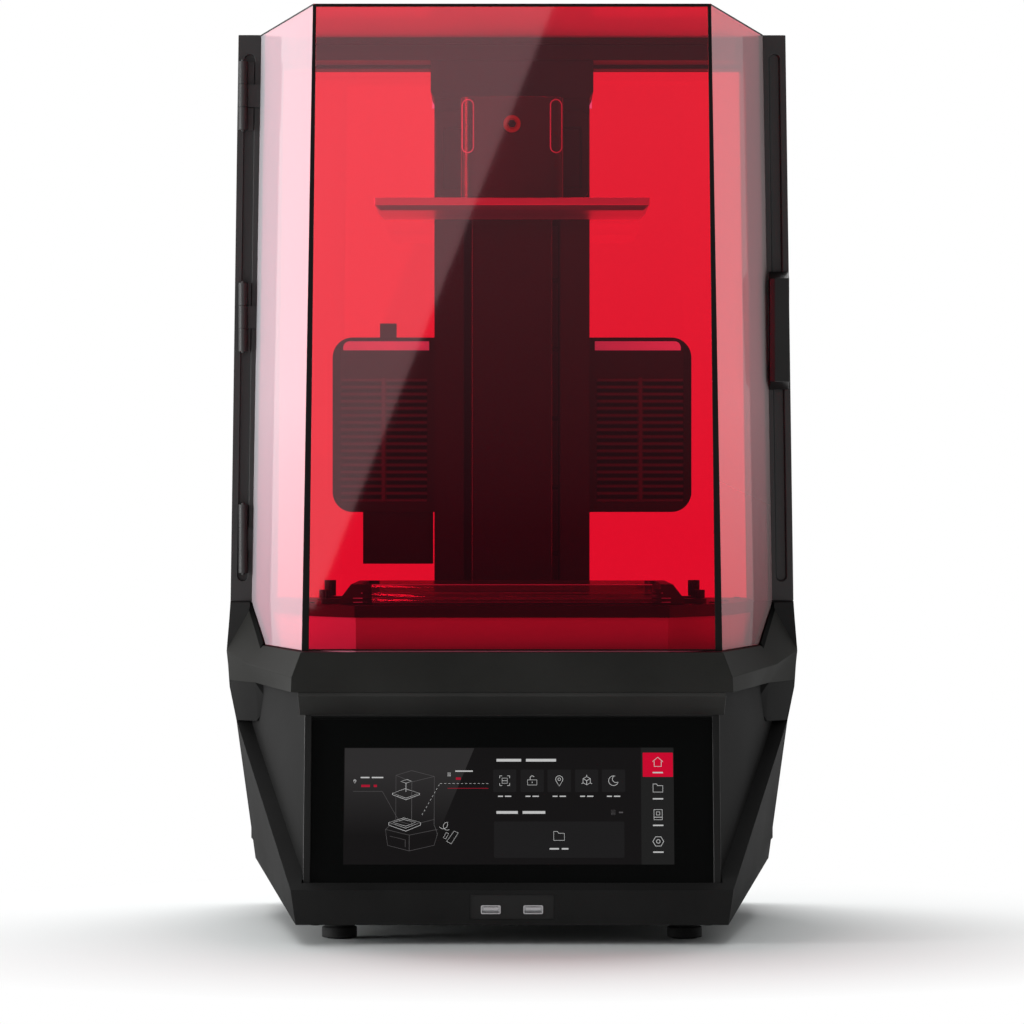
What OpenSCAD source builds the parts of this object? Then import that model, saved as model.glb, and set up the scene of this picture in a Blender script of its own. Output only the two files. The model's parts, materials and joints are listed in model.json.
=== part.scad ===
/* [Base] */
// How far the base reaches behind the frame
rear_lip = 18; // [14:1:40]
// Height of the deck that the vat stands on, above the table
deck_z = 247; // [246:1:256]
// Height of the rubber feet
foot_h = 14.5; // [10:0.5:16]
// Diameter of each foot
foot_dia = 22; // [16:1:28]
// Distance of the feet from the middle
foot_x = 128; // [110:1:135]
// Distance of the feet from the front and the rear
foot_inset = 60; // [45:1:75]
// Width of the chin at the table end
chin_w = 316; // [312:1:324]
// Height of the upright front of the chin
chin_h = 25.5; // [23:0.5:28]
// Wall of the moulded base
base_wall = 3.5; // [3:0.25:5]
// How far the base stands outside the columns at its widest
base_over = 3.2; // [2:0.1:8]
// Thickness of the bottom plate
bottom_t = 3; // [2:0.5:5]

/* [Rim] */
// Drop from the deck to the front of the rim
rim_drop = 34; // [32:1:36]
// Drop from the deck to the underside of the rim
rim_under = 63; // [61:1:66]
// Width of the flat rim at the front corners
rim_front_w = 310; // [308:1:314]

/* [Screen] */
// Width of the black glass
glass_w = 296; // [290:1:298]
// Height of the black glass
glass_h = 125; // [120:1:127]
// Thickness of the black glass
glass_t = 3; // [2:0.5:4]
// Lean of the screen from upright, in degrees
screen_lean = 14.6; // [12:0.2:17]
// Width of the lit display
display_w = 243.6; // [220:0.1:250]
// Height of the lit display
display_h = 91.4; // [80:0.1:100]

/* [Door] */
// Overall height of the printer
total_h = 691; // [680:1:720]
// Width of the hood's front panel at its foot
hood_front_w = 304; // [300:1:306]
// Distance of the hood's front panel behind the chin, at its foot
hood_front_d = 25; // [24:1:28]
// How far the front panel leans back over its height
hood_lean = 13; // [8:1:16]
// How far the front panel narrows on each side over its height
hood_taper = 5.4; // [4:0.2:7]
// Distance of the hood's sides inside the columns, where it meets the frame
hood_inset = 15.7; // [15.3:0.1:16.8]
// Thickness of the tinted panels
panel_t = 3; // [2:0.5:4]
// Width of the line between neighbouring panels
panel_gap = 0.2; // [0.1:0.05:0.5]
// Thickness across the door's upright rails
rail_w = 6; // [5:0.5:6.5]
// Depth of the door's upright rails
rail_d = 9; // [7:0.5:12]
// Clearance under the hood
door_gap = 1; // [0.8:0.1:1.6]
// Clearance between the deck's rounded corners and the swinging door
swing_gap = 1.5; // [1:0.25:4]
// Length of the handle
handle_h = 93; // [70:1:110]
// Height of the middle of the handle
handle_z = 458.5; // [420:0.5:520]

/* [Hinge] */
// Radius of the hinge barrel
barrel_r = 3.6; // [3.2:0.1:3.8]
// Radius of the hinge pin
pin_r = 1.5; // [1.2:0.1:1.8]
// Radial running clearance of pins and screws in their bores
run_gap = 0.05; // [0.03:0.01:0.09]
// Length of one hinge
hinge_len = 54; // [45:1:70]

/* [Frame] */
// Distance of the frame behind the chin
frame_front_d = 277; // [277:1:280]
// Depth of the portal frame
frame_depth = 105; // [100:1:108]
// Width across the columns at their foot
frame_w = 442.6; // [441:0.2:444]
// Width of one column
column_w = 32; // [30:0.5:34]
// Inward lean of the columns, in degrees
column_lean = 0.81; // [0.6:0.01:0.95]
// Height of the top beam
beam_h = 20; // [16:1:26]
// Width of the groove in the face of each column
groove_w = 8; // [6:0.5:9]
// Depth of the groove in the face of each column
groove_t = 3; // [2:0.5:5]
// Thickness of the rear windows
window_t = 3; // [2:0.5:5]

/* [Tower] */
// Width of the Z tower
tower_w = 122; // [118:1:124]
// Wall of the tower
tower_wall = 3; // [2.5:0.25:4]
// Width of the slot in the tower's face
slot_w = 76; // [74:1:82]
// Width of the strip that covers the slot
band_w = 62; // [56:1:64]
// Thickness of the strip
band_t = 1.2; // [0.8:0.1:1.5]
// Height of the flared cap
cap_h = 30; // [28:1:34]
// Width of the flared cap
cap_w = 128; // [126:1:134]
// Distance between the linear rails
rail_pitch = 52; // [50:1:58]
// Width of a linear rail
lin_w = 12; // [10:0.5:14]
// Depth of a linear rail
lin_t = 8; // [7:0.5:9]
// Diameter of the lead screw
screw_dia = 10; // [8:0.5:11]

/* [Carriage] */
// Drop from the top of the printer to the underside of the parked build platform
park_drop = 146; // [144:1:180]
// Width of the build platform
platform_w = 208.5; // [190:0.5:212]
// Depth of the build platform
platform_d = 126; // [110:1:130]
// Thickness of the build platform
platform_t = 9.5; // [8:0.5:14]
// Distance of the platform's front behind the chin
platform_front_d = 140; // [138:1:144]
// Height of the arm's face plate
arm_h = 69; // [60:1:70]
// Width of the bracket on the platform
bracket_w = 78; // [72:1:84]
// Height of the bracket
bracket_h = 78.5; // [76:0.5:80]
// Width of the tongue that the bracket slides on
tongue_w = 48; // [40:1:52]
// Height of the tongue
tongue_h = 32; // [28:1:34]
// Clearance round the tongue
tongue_gap = 0.4; // [0.3:0.05:0.8]
// Diameter of the lock screw's head
lock_dia = 13; // [11:0.5:18]

/* [Vat] */
// Width of the grip at each end of the vat
grip_w = 16; // [14:0.5:17]
// Thickness of the vat's front wall
front_wall = 17; // [12:0.5:18]
// Thickness of the vat's rear wall
rear_wall = 4; // [3:0.5:6]
// Height of the vat
vat_h = 15; // [14:0.5:18]
// Width of the resin cavity
cavity_w = 224; // [220:1:230]
// Depth of the resin cavity
cavity_d = 190; // [180:1:194]
// Thickness of the release film
film_t = 0.5; // [0.3:0.1:1]
// Gap between the vat and the deck
seat_gap = 0.3; // [0.2:0.05:0.5]
// Radius of the shank of each vat knob
shank_r = 2.5; // [2:0.1:3]

/* [Modules] */
// Width of the filter and heater modules
module_w = 81; // [76:1:86]
// Height of the filter and heater modules
module_h = 138; // [120:1:150]
// Depth of the filter and heater modules
module_d = 52; // [50:1:60]
// Height of their lower edge above the table
module_z = 316; // [310:1:330]
// Distance of their face behind the chin
module_front_d = 300; // [298:1:304]
// Radius of their outer corners
module_r = 16; // [8:1:20]
// Number of louvres in each column
louvres = 17; // [8:1:18]
// Distance between louvres
louvre_pitch = 5.6; // [5.2:0.1:5.8]
// Radius of the module fans
fan_r = 30; // [24:1:32]

/* [Inside] */
// Width of the projector
projector_w = 150; // [120:1:152]
// Length of the projector
projector_l = 180; // [150:1:190]
// Height of the projector's case
projector_h = 72; // [60:1:76]
// Width of the power supply
psu_w = 62; // [50:1:64]
// Length of the power supply
psu_l = 190; // [150:1:200]
// Height of the power supply
psu_h = 53; // [40:1:60]
// Width of the mainboard
board_w = 60; // [50:1:64]
// Length of the mainboard
board_l = 190; // [150:1:200]
// Size of the cooling fan
cool_size = 80; // [60:1:90]

/* [Hidden] */
$fn = 48;

black = "#262626";
dark = "#1c1c1c";
red_tint = [0.85, 0.12, 0.18, 0.55];
steel = "#b9bcc0";
alloy = "#8c8f94";

// heights above the table
bottom_z = foot_h;
chin_top_z = bottom_z + chin_h;
rim_z = deck_z - rim_drop;
under_z = deck_z - rim_under;
seat_z = deck_z - 1;
deck_t = 9;
deck_under_z = deck_z - deck_t;
beam_z = total_h - beam_h;
cap_z = beam_z - cap_h;

// distances behind the chin
frame_rear_d = frame_front_d + frame_depth;
base_d = frame_rear_d + rear_lip;
tower_front_d = frame_front_d + 1;
tower_rear_d = frame_rear_d;
hood_rear_d = frame_front_d - 3;
kink_d = frame_front_d - 73;
deck_front_d = hood_front_d + 15;
band_d = tower_front_d + 1;
clamp_h = 8;

// base outline, half widths
chin_x = chin_w / 2;
chin_top_x = chin_x + 3.7;
column_x = frame_w / 2;
side_x = column_x + base_over;
side_low_x = side_x - 22.9;
side_mid_x = side_x - 7.9;
side_up_x = side_x - 2.5;
side_low_z = bottom_z + 29.5;
side_mid_z = deck_z - 94.5;
side_up_z = deck_z - 68;
side_wide_z = deck_z - 39.5;
column_in_x = column_x - column_w;
deck_x = column_in_x - 1;
// where the base tapers in under the rim
cheek_x = side_x - 19.5;
elbow_x = side_x - 26.1;
waist_x = side_x - 34.5;
cheek_z = side_low_z + 16;
elbow_d = kink_d + 8;

// screen
screen_d = 15;
screen_z = chin_top_z + 2;
screen_x = 153.6;
bezel_t = 10;
bezel_h = (under_z - screen_z) / cos(screen_lean) - 0.6;
glass_w0 = 2.4;
display_x = -2.4;
glass_sink = 4;
usb_w = 61;
usb_h = 17.5;
usb_z = bottom_z + 13.2;
usb_pitch = 31;
usb_pocket = 5;

// hood: its walls are flat, so the side's lean follows from the front's
hood_h = total_h - rim_z;
hood_foot_x = hood_front_w / 2;
hood_rear_x = column_x - hood_inset;
hood_run = frame_front_d - hood_front_d;
flare = (hood_rear_x - hood_foot_x) / hood_run;
flare_cos = 1 / sqrt(1 + flare * flare);
side_taper = hood_taper + hood_lean * flare;
mitre = panel_t * (1 - flare * flare_cos) / flare_cos;
door_foot_z = rim_z + door_gap;

under_slip = sqrt(1 + pow((side_low_x - chin_x) / (side_low_z - bottom_z), 2));

// depth of the leaning plane that the screen's surround is fixed to
function screen_back(z) = screen_d + bezel_t / cos(screen_lean) + (z - screen_z) * tan(screen_lean);
function up(z) = (z - rim_z) / hood_h;
function front_x(z) = hood_foot_x - hood_taper * up(z);
function front_d(z) = hood_front_d + hood_lean * up(z);
function side_at(z, d) = hood_rear_x - side_taper * up(z) - (frame_front_d - d) * flare;
function side_in(z, d, t) = side_at(z, d) - t / flare_cos;
function rim_top(d) = d < kink_d ? rim_z : rim_z + (seat_z - rim_z) * (d - kink_d) / (frame_front_d - kink_d);
function back(d) = d - base_d / 2;

// hinge axis and what swings about it
axis_x = column_x - 10.3;
axis_d = frame_front_d - barrel_r - 0.9;
rail_in_x = side_in(deck_z, hood_rear_d, panel_t) - rail_w;
panel_reach = (axis_x + side_in(deck_z, axis_d, panel_t)) * flare_cos;
sweep_r = min(axis_x + rail_in_x, panel_reach) - swing_gap;
hinge_zs = [deck_z + 48, (deck_z + total_h) / 2, total_h - 48];
knuckle = hinge_len / 3;
leaf_t = 2;

// moving Z parts
spine_d = tower_front_d + 56;
lin_d = spine_d - lin_t;
stub_r = 2;
block_gap = 0.4;
block_t = 12;
block_w = 27;
block_h = 34;
block_front_d = spine_d - 4.5 - block_t;
plate_t = 8.5;
plate_front_d = block_front_d - plate_t;
screw_d = spine_d - 9.5;
film_z = deck_z + 4;
platform_z = total_h - park_drop;
platform_top_z = platform_z + platform_t;
arm_z = platform_top_z + 7.5;
arm_front_d = tower_front_d - 12;
arm_rear_d = tower_front_d - 1.5;
tongue_front_d = platform_front_d + 36;
bracket_front_d = tongue_front_d - 11;
bracket_rear_d = arm_front_d - 0.4;
tongue_z = platform_top_z + bracket_h - tongue_h / 2 - 5;
lock_r = 4;
lift_gap = 0.3;

// vat
vat_front_d = 62;
vat_z = deck_z + seat_gap;
vat_w = cavity_w + 2 * grip_w;
vat_d = front_wall + cavity_d + rear_wall;
vat_mid_d = vat_front_d + front_wall + cavity_d / 2;
film_margin = 2;
projection_mid_d = platform_front_d + platform_d / 2;
projection_w = 200;
projection_h = 114;
knob_x = vat_w / 2 + 12;
knob_ds = [96, 200];
knob_zs = [vat_z + 10.5, vat_z + 16.3];
ear_t = 4;
knob_r = 4.5;

// modules beside the tower
module_x = tower_w / 2;
module_wall = 2.5;
cover_d = 12;
fan_z = module_z + 62;
duct_w = 55;
duct_h = 41;
duct_d = 40;
duct_x = module_x + 2;

// rear of the base
vent_w = 236;
panel_z = bottom_z + 20;
panel_h = deck_z - 16 - panel_z;
cool_z = bottom_z + 140;
cool_x = 60;
cool_r = cool_size / 2 - 4;
cool_hole = cool_size / 2 - 4.3;
inlet_x = -85;
inlet_z = bottom_z + 60;
rocker_x = inlet_x + 40;
rocker_d = base_d - 8;
port_x = rocker_x + 44;

// ---- helpers ----
module both() { children(); mirror([1, 0, 0]) children(); }

// a profile in X and Z, drawn out from one depth to another
module along_depth(d0, d1)
  translate([0, back(d1), 0]) rotate([90, 0, 0]) linear_extrude(d1 - d0) children();

// a profile in depth and Z, drawn out across X
module across(x0, x1)
  translate([x0, -base_d / 2, 0]) rotate([90, 0, 90]) linear_extrude(x1 - x0) children();

// a solid round its corner points, each [x, depth, z]
module corners(pts)
  hull() polyhedron([for (p = pts) [p.x, back(p.y), p.z]], [[for (i = [0 : len(pts) - 1]) i]]);

// corner points given for the right side and mirrored to the left
function sym(pts) = concat(pts, [for (p = pts) [-p.x, p.y, p.z]]);

module slab(x0, x1, d0, d1, z0, z1)
  translate([x0, back(d0), z0]) cube([x1 - x0, d1 - d0, z1 - z0]);

module wide(w, d0, d1, z0, z1) slab(-w / 2, w / 2, d0, d1, z0, z1);

module upright(x, d, z0, z1, r) translate([x, back(d), z0]) cylinder(r = r, h = z1 - z0);

// a round bar along the depth
module endwise(x, d0, d1, z, r) translate([x, back(d1), z]) rotate([90, 0, 0]) cylinder(r = r, h = d1 - d0);

module soft_rect(w, h, r) {
  square([w - 2 * r, h], center = true);
  square([w, h - 2 * r], center = true);
  for (i = [-1, 1], j = [-1, 1]) translate([i * (w / 2 - r), j * (h / 2 - r)]) circle(r);
}

module stadium(w, h) {
  square([w, h - w], center = true);
  for (j = [-1, 1]) translate([0, j * (h - w) / 2]) circle(w / 2);
}

// frame of the leaning screen: x across, y into the base, z up the glass
module on_screen() translate([0, back(screen_d), screen_z]) rotate([-screen_lean, 0, 0]) children();

// fan rotor about z, bored for its stub shaft
module rotor(r, hub, width, blades, twist) {
  difference() {
    cylinder(r = hub, h = width, center = true);
    cylinder(r = stub_r + run_gap, h = width + 1, center = true);
  }
  for (i = [0 : blades - 1]) rotate(i * 360 / blades)
    translate([hub - 1, 0, 0]) rotate([twist, 0, 0])
      translate([0, -0.8, -width * 0.55]) cube([r - hub + 0.6, 1.6, width * 1.1]);
}

// arms across a fan's opening with the stub shaft, about z, the arms from 0 up
module spider(r, hub, shaft) {
  cylinder(r = hub, h = 2);
  translate([0, 0, -shaft]) cylinder(r = stub_r, h = shaft + 1);
  for (i = [0 : 3]) rotate(45 + i * 90) translate([0, -1.5, 0]) cube([r, 3, 2]);
}

// ---- base ----
under_slope = (side_low_x - chin_x) / (side_low_z - bottom_z);
function half_outline(g) = [[chin_x - under_slip * g - (g > 0 ? 5 * under_slope : 0), bottom_z - (g > 0 ? 5 : 0)],
  [side_low_x - g * 1.3, side_low_z + g * 0.4],
  [side_mid_x - g, side_mid_z], [side_up_x - g, side_up_z], [side_x - g - 0.5, side_wide_z],
  [column_x - g, seat_z - g]];

module outline(g) polygon(concat(half_outline(g), [for (i = [5 : -1 : 0]) let (p = half_outline(g)[i]) [-p.x, p.y]]));

module base_shell() color(black) difference() {
  union() {
    corners(sym([[chin_x, 0, bottom_z], [chin_top_x, 0, chin_top_z], [chin_x, frame_front_d + 1, bottom_z],
      [side_low_x, frame_front_d + 1, side_low_z], [side_mid_x, frame_front_d + 1, side_mid_z]]));
    corners(sym([[screen_x, screen_back(chin_top_z - 4), chin_top_z - 4],
      [screen_x, screen_back(under_z), under_z],
      [waist_x, elbow_d - 12, under_z], [cheek_x, frame_front_d + 1, under_z], [cheek_x, frame_front_d + 1, cheek_z]]));
    both() corners([[elbow_x, elbow_d, under_z], [side_up_x, frame_front_d + 1, under_z],
      [side_up_x, frame_front_d + 1, side_up_z], [side_mid_x, frame_front_d + 1, side_mid_z],
      [waist_x - 2, elbow_d - 2, under_z - 15], [elbow_x, elbow_d + 23, side_mid_z + 1],
      [waist_x - 40, frame_front_d + 1, side_mid_z], [waist_x - 40, elbow_d, under_z], [waist_x - 40, frame_front_d + 1, under_z]]);
    along_depth(frame_front_d, base_d) outline(0);
  }
  corners(sym([[chin_x - 9.2, base_wall + 0.6, bottom_z - 2], [chin_top_x - 4, base_wall + 0.6, chin_top_z - 4.5],
    [chin_x - 9.2, frame_front_d + 1, bottom_z - 2], [side_low_x - 5, frame_front_d + 1, side_low_z + 2],
    [side_mid_x - 4, frame_front_d + 1, side_mid_z - 5]]));
  corners(sym([[screen_x - 4, screen_back(screen_z - 12) + 4, screen_z - 12],
    [screen_x - 4, screen_back(under_z + 1) + 4, under_z + 1],
    [waist_x - 5, elbow_d - 9, under_z + 1], [cheek_x - 5, frame_front_d + 1, under_z + 1],
    [cheek_x - 5, frame_front_d + 1, cheek_z - 4]]));
  along_depth(frame_front_d - 0.5, base_d - base_wall) outline(base_wall);
  // seat of the deck between the columns
  wide(2 * deck_x + 0.4, frame_front_d - 1, frame_rear_d + 0.7, deck_under_z - 6, deck_z + 5);
  // seat of the screen's surround, and the gutter at its foot
  on_screen() translate([-screen_x - 0.5, -0.1, -0.3]) cube([2 * screen_x + 1, bezel_t + 0.3, bezel_h + 3]);
  on_screen() translate([-screen_x - 0.5, -14, 1.2]) cube([2 * screen_x + 1, 15, 20]);
  // openings for the screen, the ports and the rear panel
  on_screen() translate([display_x - display_w / 2 - 2, -5, 12]) cube([display_w + 4, 40, bezel_h - 26]);
  wide(usb_w + 0.4, -1, 2, usb_z - usb_h / 2 - 0.2, usb_z + usb_h / 2 + 0.2);
  wide(usb_w - 6, -1, usb_pocket + 5, usb_z - usb_h / 2 + 3, usb_z + usb_h / 2 - 3);
  wide(vent_w + 0.4, base_d - 10, base_d + 1, panel_z - 0.2, panel_z + panel_h + 0.2);
}

// one side's sections of the rim, from the front corner to the frame: ledge, inner foot, outer foot, widest, crest
rim_sections = [
  [[rim_front_w / 2, hood_front_d - 7, rim_z], [hood_foot_x - 5, hood_front_d + 6, rim_z], [hood_foot_x - 5, hood_front_d + 6, rim_z - 0.8],
   [rim_front_w / 2 - 30, hood_front_d + 35, rim_z - 0.8], [rim_front_w / 2 - 30, hood_front_d + 35, under_z],
   [rim_front_w / 2 + 7, hood_front_d - 14, under_z], [rim_front_w / 2 + 6.5, hood_front_d - 15, rim_z - 18]],
  [[side_at(rim_z, kink_d) + 2, kink_d, rim_z], [side_at(rim_z, kink_d) - 3.2, kink_d, rim_z],
   [side_at(rim_z, kink_d) - 3.2, kink_d, rim_z - 0.8], [waist_x - 32, kink_d, rim_z - 0.8],
   [waist_x - 32, kink_d, under_z], [elbow_x, elbow_d, under_z], [cheek_x, elbow_d - 2, rim_z - 14.4]],
  [[side_at(rim_z, frame_front_d) + 0.2, frame_front_d, seat_z], [deck_x + 1, frame_front_d, seat_z],
   [deck_x + 1, frame_front_d, rim_z - 0.8], [waist_x - 27, frame_front_d, rim_z - 0.8], [waist_x - 27, frame_front_d, under_z],
   [side_up_x, frame_front_d, under_z], [side_x, frame_front_d, side_wide_z]]];

module base_rim() color(black) {
  right = [for (s = rim_sections) s];
  left = [for (k = [2 : -1 : 0]) [for (p = rim_sections[k]) [-p.x, p.y, p.z]]];
  rows = concat(left, right);
  n = len(rows[0]);
  last = len(rows) - 1;
  pts = [for (r = rows) for (p = r) [p.x, back(p.y), p.z]];
  skin = [for (i = [0 : last - 1]) for (j = [0 : n - 1]) let (a = i * n + j, b = i * n + (j + 1) % n)
    each [[a, b, b + n], [a, b + n, a + n]]];
  polyhedron(pts, concat(skin, [[for (j = [n - 1 : -1 : 0]) j]], [[for (j = [0 : n - 1]) last * n + j]]));
}

module front_fascia() color(dark) difference() {
  top_d = screen_d + (under_z - screen_z) * tan(screen_lean);
  across(-rim_front_w / 2 - 2, rim_front_w / 2 + 2)
    polygon([[hood_front_d - 12, under_z], [hood_front_d - 12, under_z - 3], [top_d - 6, under_z - 18], [top_d + 4, under_z - 18], [top_d + 4, under_z]]);
  on_screen() translate([-200, 0, -20]) cube([400, 40, 300]);
}

module screen_bezel() color(dark) on_screen() difference() {
  translate([-screen_x + 0.2, 0, 0]) cube([2 * screen_x - 0.4, bezel_t, bezel_h]);
  translate([-glass_w / 2, -1, glass_w0]) cube([glass_w, glass_sink + glass_t + 1, glass_h]);
  translate([display_x - display_w / 2 - 1, 0, glass_w0 + (glass_h - display_h) / 2 - 5]) cube([display_w + 2, 20, display_h + 2]);
}

module screen_glass() color("#0c0e0d") on_screen()
  translate([-glass_w / 2, glass_sink, glass_w0]) cube([glass_w, glass_t, glass_h]);

module display_panel() color("#171516") on_screen()
  translate([display_x - display_w / 2, glass_sink + glass_t, glass_w0 + (glass_h - display_h) / 2 - 4])
    cube([display_w, 5, display_h]);

module usb_panel() color(dark) difference() {
  wide(usb_w, 0.8, 2, usb_z - usb_h / 2, usb_z + usb_h / 2);
  for (s = [-1, 1]) along_depth(-1, 5) translate([s * usb_pitch / 2, usb_z - 2]) soft_rect(14.8, 6.8, 1.4);
}

module data_ports() color(steel) {
  for (s = [-1, 1]) translate([s * usb_pitch / 2, 0, usb_z - 2]) {
    difference() {
      along_depth(0.2, 14) soft_rect(14.4, 6.4, 1.2);
      along_depth(-1, 12.5) soft_rect(12.8, 4.8, 0.6);
    }
    wide(10.6, 2.2, 13, -0.2, 1.6);
  }
  difference() {
    wide_at(port_x, 16, base_d - 22, base_d - 0.2, inlet_z - 6.7, inlet_z + 6.7);
    wide_at(port_x, 12, base_d - 17, base_d + 1, inlet_z - 4, inlet_z + 3);
    wide_at(port_x, 5, base_d - 17, base_d + 1, inlet_z + 2, inlet_z + 5.2);
  }
}

module bottom_plate() color(dark) difference() {
  wide(chin_w - 17, 6, base_d - 6, bottom_z, bottom_z + bottom_t);
  for (s = [-1, 1], d = [foot_inset, base_d - foot_inset]) upright(s * foot_x, d, bottom_z - 1, bottom_z + 9, 2.2);
  for (i = [-6 : 6]) translate([i * 12, back(frame_front_d - 5), bottom_z - 1]) linear_extrude(9) stadium(5, 70);
}

module feet() color("#161616") for (s = [-1, 1], d = [foot_inset, base_d - foot_inset]) translate([s * foot_x, back(d), 0]) {
  rotate_extrude() polygon([[3, 0], [foot_dia / 2 - 2, 0], [foot_dia / 2 - 1, 1.2], [foot_dia / 2, foot_h * 0.55],
    [foot_dia / 2, foot_h], [0, foot_h], [0, 2.5], [3, 2.5]]);
  cylinder(r = 2.1, h = foot_h + bottom_t);
}

module rear_panel() color(dark) difference() {
  wide(vent_w, base_d - base_wall, base_d - 0.5, panel_z, panel_z + panel_h);
  for (r = [0 : 3]) along_depth(base_d - 10, base_d + 1) translate([cool_x, cool_z]) difference() {
    circle(cool_r - r * 9);
    circle(cool_r - r * 9 - 6);
    square([80, 3], center = true);
    square([3, 80], center = true);
  }
  for (i = [0 : 8]) along_depth(base_d - 10, base_d + 1) translate([-96 + i * 11, cool_z]) stadium(5, 56);
  along_depth(base_d - 10, base_d + 1) translate([inlet_x, inlet_z]) square([28, 20], center = true);
  along_depth(base_d - 10, base_d + 1) translate([rocker_x, inlet_z]) square([13.6, 19.6], center = true);
  along_depth(base_d - 10, base_d + 1) translate([port_x, inlet_z]) square([16.4, 13.8], center = true);
}

module power_inlet() color("#111111") {
  difference() {
    union() {
      wide_at(inlet_x, 27.6, base_d - 26, base_d - 0.3, inlet_z - 9.8, inlet_z + 9.8);
      along_depth(base_d - 0.5, base_d) translate([inlet_x, inlet_z]) soft_rect(33, 25, 2);
    }
    along_depth(base_d - 18, base_d + 1) translate([inlet_x, inlet_z])
      polygon([[-12, -8.2], [12, -8.2], [12, 3.5], [7.5, 8.2], [-7.5, 8.2], [-12, 3.5]]);
  }
  rocker_frame();
  for (x = [-7, 0, 7]) wide_at(inlet_x + x, 2, base_d - 18.5, base_d - 6, inlet_z - 2 - (x == 0 ? -3 : 0), inlet_z + 2 + (x == 0 ? 3 : 0));
}

module wide_at(x, w, d0, d1, z0, z1) slab(x - w / 2, x + w / 2, d0, d1, z0, z1);

module power_switch() color("#101010") {
  translate([rocker_x, back(rocker_d), inlet_z]) rotate([90, 0, 90]) linear_extrude(11.6, center = true)
    polygon([[-5, -7.6], [5.4, -7.6], [4.4, 0], [6.6, 7.6], [-5, 7.6]]);
  across(rocker_x - 6.4, rocker_x + 6.4) translate([rocker_d, inlet_z]) circle(1);
}

// the frame that the rocker is pivoted in
module rocker_frame() difference() {
  wide_at(rocker_x, 13.4, base_d - 20, base_d, inlet_z - 9.7, inlet_z + 9.7);
  wide_at(rocker_x, 12.2, base_d - 18, base_d + 1, inlet_z - 8.9, inlet_z + 8.9);
  across(rocker_x - 10, rocker_x + 10) translate([rocker_d, inlet_z]) circle(1 + run_gap);
}

module cooling_fan_frame() color(dark) {
  fan_frame_ring();
  fan_frame_spider();
}

module fan_frame_ring() difference() {
  along_depth(base_d - base_wall - 25, base_d - base_wall) translate([cool_x, cool_z]) difference() {
    soft_rect(cool_size, cool_size, 5);
    circle(cool_r + 1.5);
  }
  for (i = [-1, 1], j = [-1, 1]) endwise(cool_x + i * cool_hole, base_d - 40, base_d, cool_z + j * cool_hole, 2.1);
}

module fan_frame_spider() translate([cool_x, back(base_d - base_wall - 23), cool_z]) rotate([90, 0, 0])
  spider(cool_r + 3, 15, 20);

module cooling_fan_rotor() color("#151515") translate([cool_x, back(base_d - base_wall - 13), cool_z]) rotate([90, 0, 0])
  rotor(cool_r - 1.2, 15, 18, 7, 32);

// ---- deck ----
module deck_outline(g) intersection() {
  polygon([for (s = [1, -1]) for (p = s > 0 ? deck_side(g) : [for (i = [len(deck_side(g)) - 1 : -1 : 0]) deck_side(g)[i]])
    [s * p.x, back(p.y)]]);
  translate([-axis_x, back(axis_d)]) circle(sweep_r - g, $fn = 180);
  translate([axis_x, back(axis_d)]) circle(sweep_r - g, $fn = 180);
}

function deck_side(g) = [[side_in(rim_z, deck_front_d, panel_t) - 2.5 - g, deck_front_d + g],
  [min(deck_x, side_in(seat_z, frame_front_d - 22, panel_t) - rail_w - 3) - g, frame_front_d - 22],
  [deck_x - g, frame_front_d - 1], [deck_x - g, frame_rear_d - g]];

module deck_plate() color("#2a2a2c") difference() {
  translate([0, 0, deck_under_z]) linear_extrude(deck_t) union() {
    deck_outline(0);
    translate([-deck_x, back(frame_front_d)]) square([2 * deck_x, frame_depth]);
  }
  translate([0, back(projection_mid_d), deck_under_z - 1]) linear_extrude(20) soft_rect(projection_w, projection_h, 5);
  translate([0, back(projection_mid_d), deck_z - 4]) linear_extrude(20) soft_rect(projection_w + 12, projection_h + 12, 6);
  for (s = [-1, 1], d = knob_ds) upright(s * knob_x, d, deck_under_z - 1, deck_z + 1, shank_r + 0.1);
  upright(0, screw_d, deck_under_z - 1, deck_z + 1, screw_dia / 2 + 3);
}

module front_apron() color("#a8a8aa") difference() {
  translate([0, 0, rim_z - 0.8]) linear_extrude(deck_under_z - rim_z + 0.8) difference() {
    deck_outline(2);
    deck_outline(4);
  }
  wide(2 * side_x, frame_front_d - 4, base_d, rim_z - 5, deck_z);
}

module projection_window() color([0.8, 0.85, 0.9, 0.4])
  translate([0, back(projection_mid_d), deck_z - 4]) linear_extrude(4) soft_rect(projection_w + 11.6, projection_h + 11.6, 5.8);

// ---- portal frame ----
module column_prism(x0, x1, d0, d1) intersection() {
  translate([column_x, 0, seat_z]) rotate([0, -column_lean, 0])
    translate([x0 - column_x, back(d0), -20]) cube([x1 - x0, d1 - d0, total_h]);
  translate([-300, -300, seat_z]) cube([600, 600, total_h - seat_z]);
}

module column_shape() difference() {
  column_prism(column_in_x, column_x, frame_front_d, frame_rear_d);
  translate([column_x, 0, seat_z]) rotate([0, -column_lean, 0]) translate([-column_x, 0, -seat_z])
    along_depth(frame_front_d - 1, frame_front_d + groove_t)
      translate([axis_x + 1, (deck_z + total_h) / 2]) stadium(groove_w, total_h - deck_z - 30);
  // a long shallow hollow down the outside
  translate([column_x, 0, seat_z]) rotate([0, -column_lean, 0]) translate([-column_x, 0, -seat_z])
    slab(column_x - 2, column_x + 1, frame_front_d + 30, frame_rear_d - 18, deck_z + 40, total_h - 40);
}

module left_column() color(black) mirror([1, 0, 0]) column_shape();
module right_column() color(black) column_shape();

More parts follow.
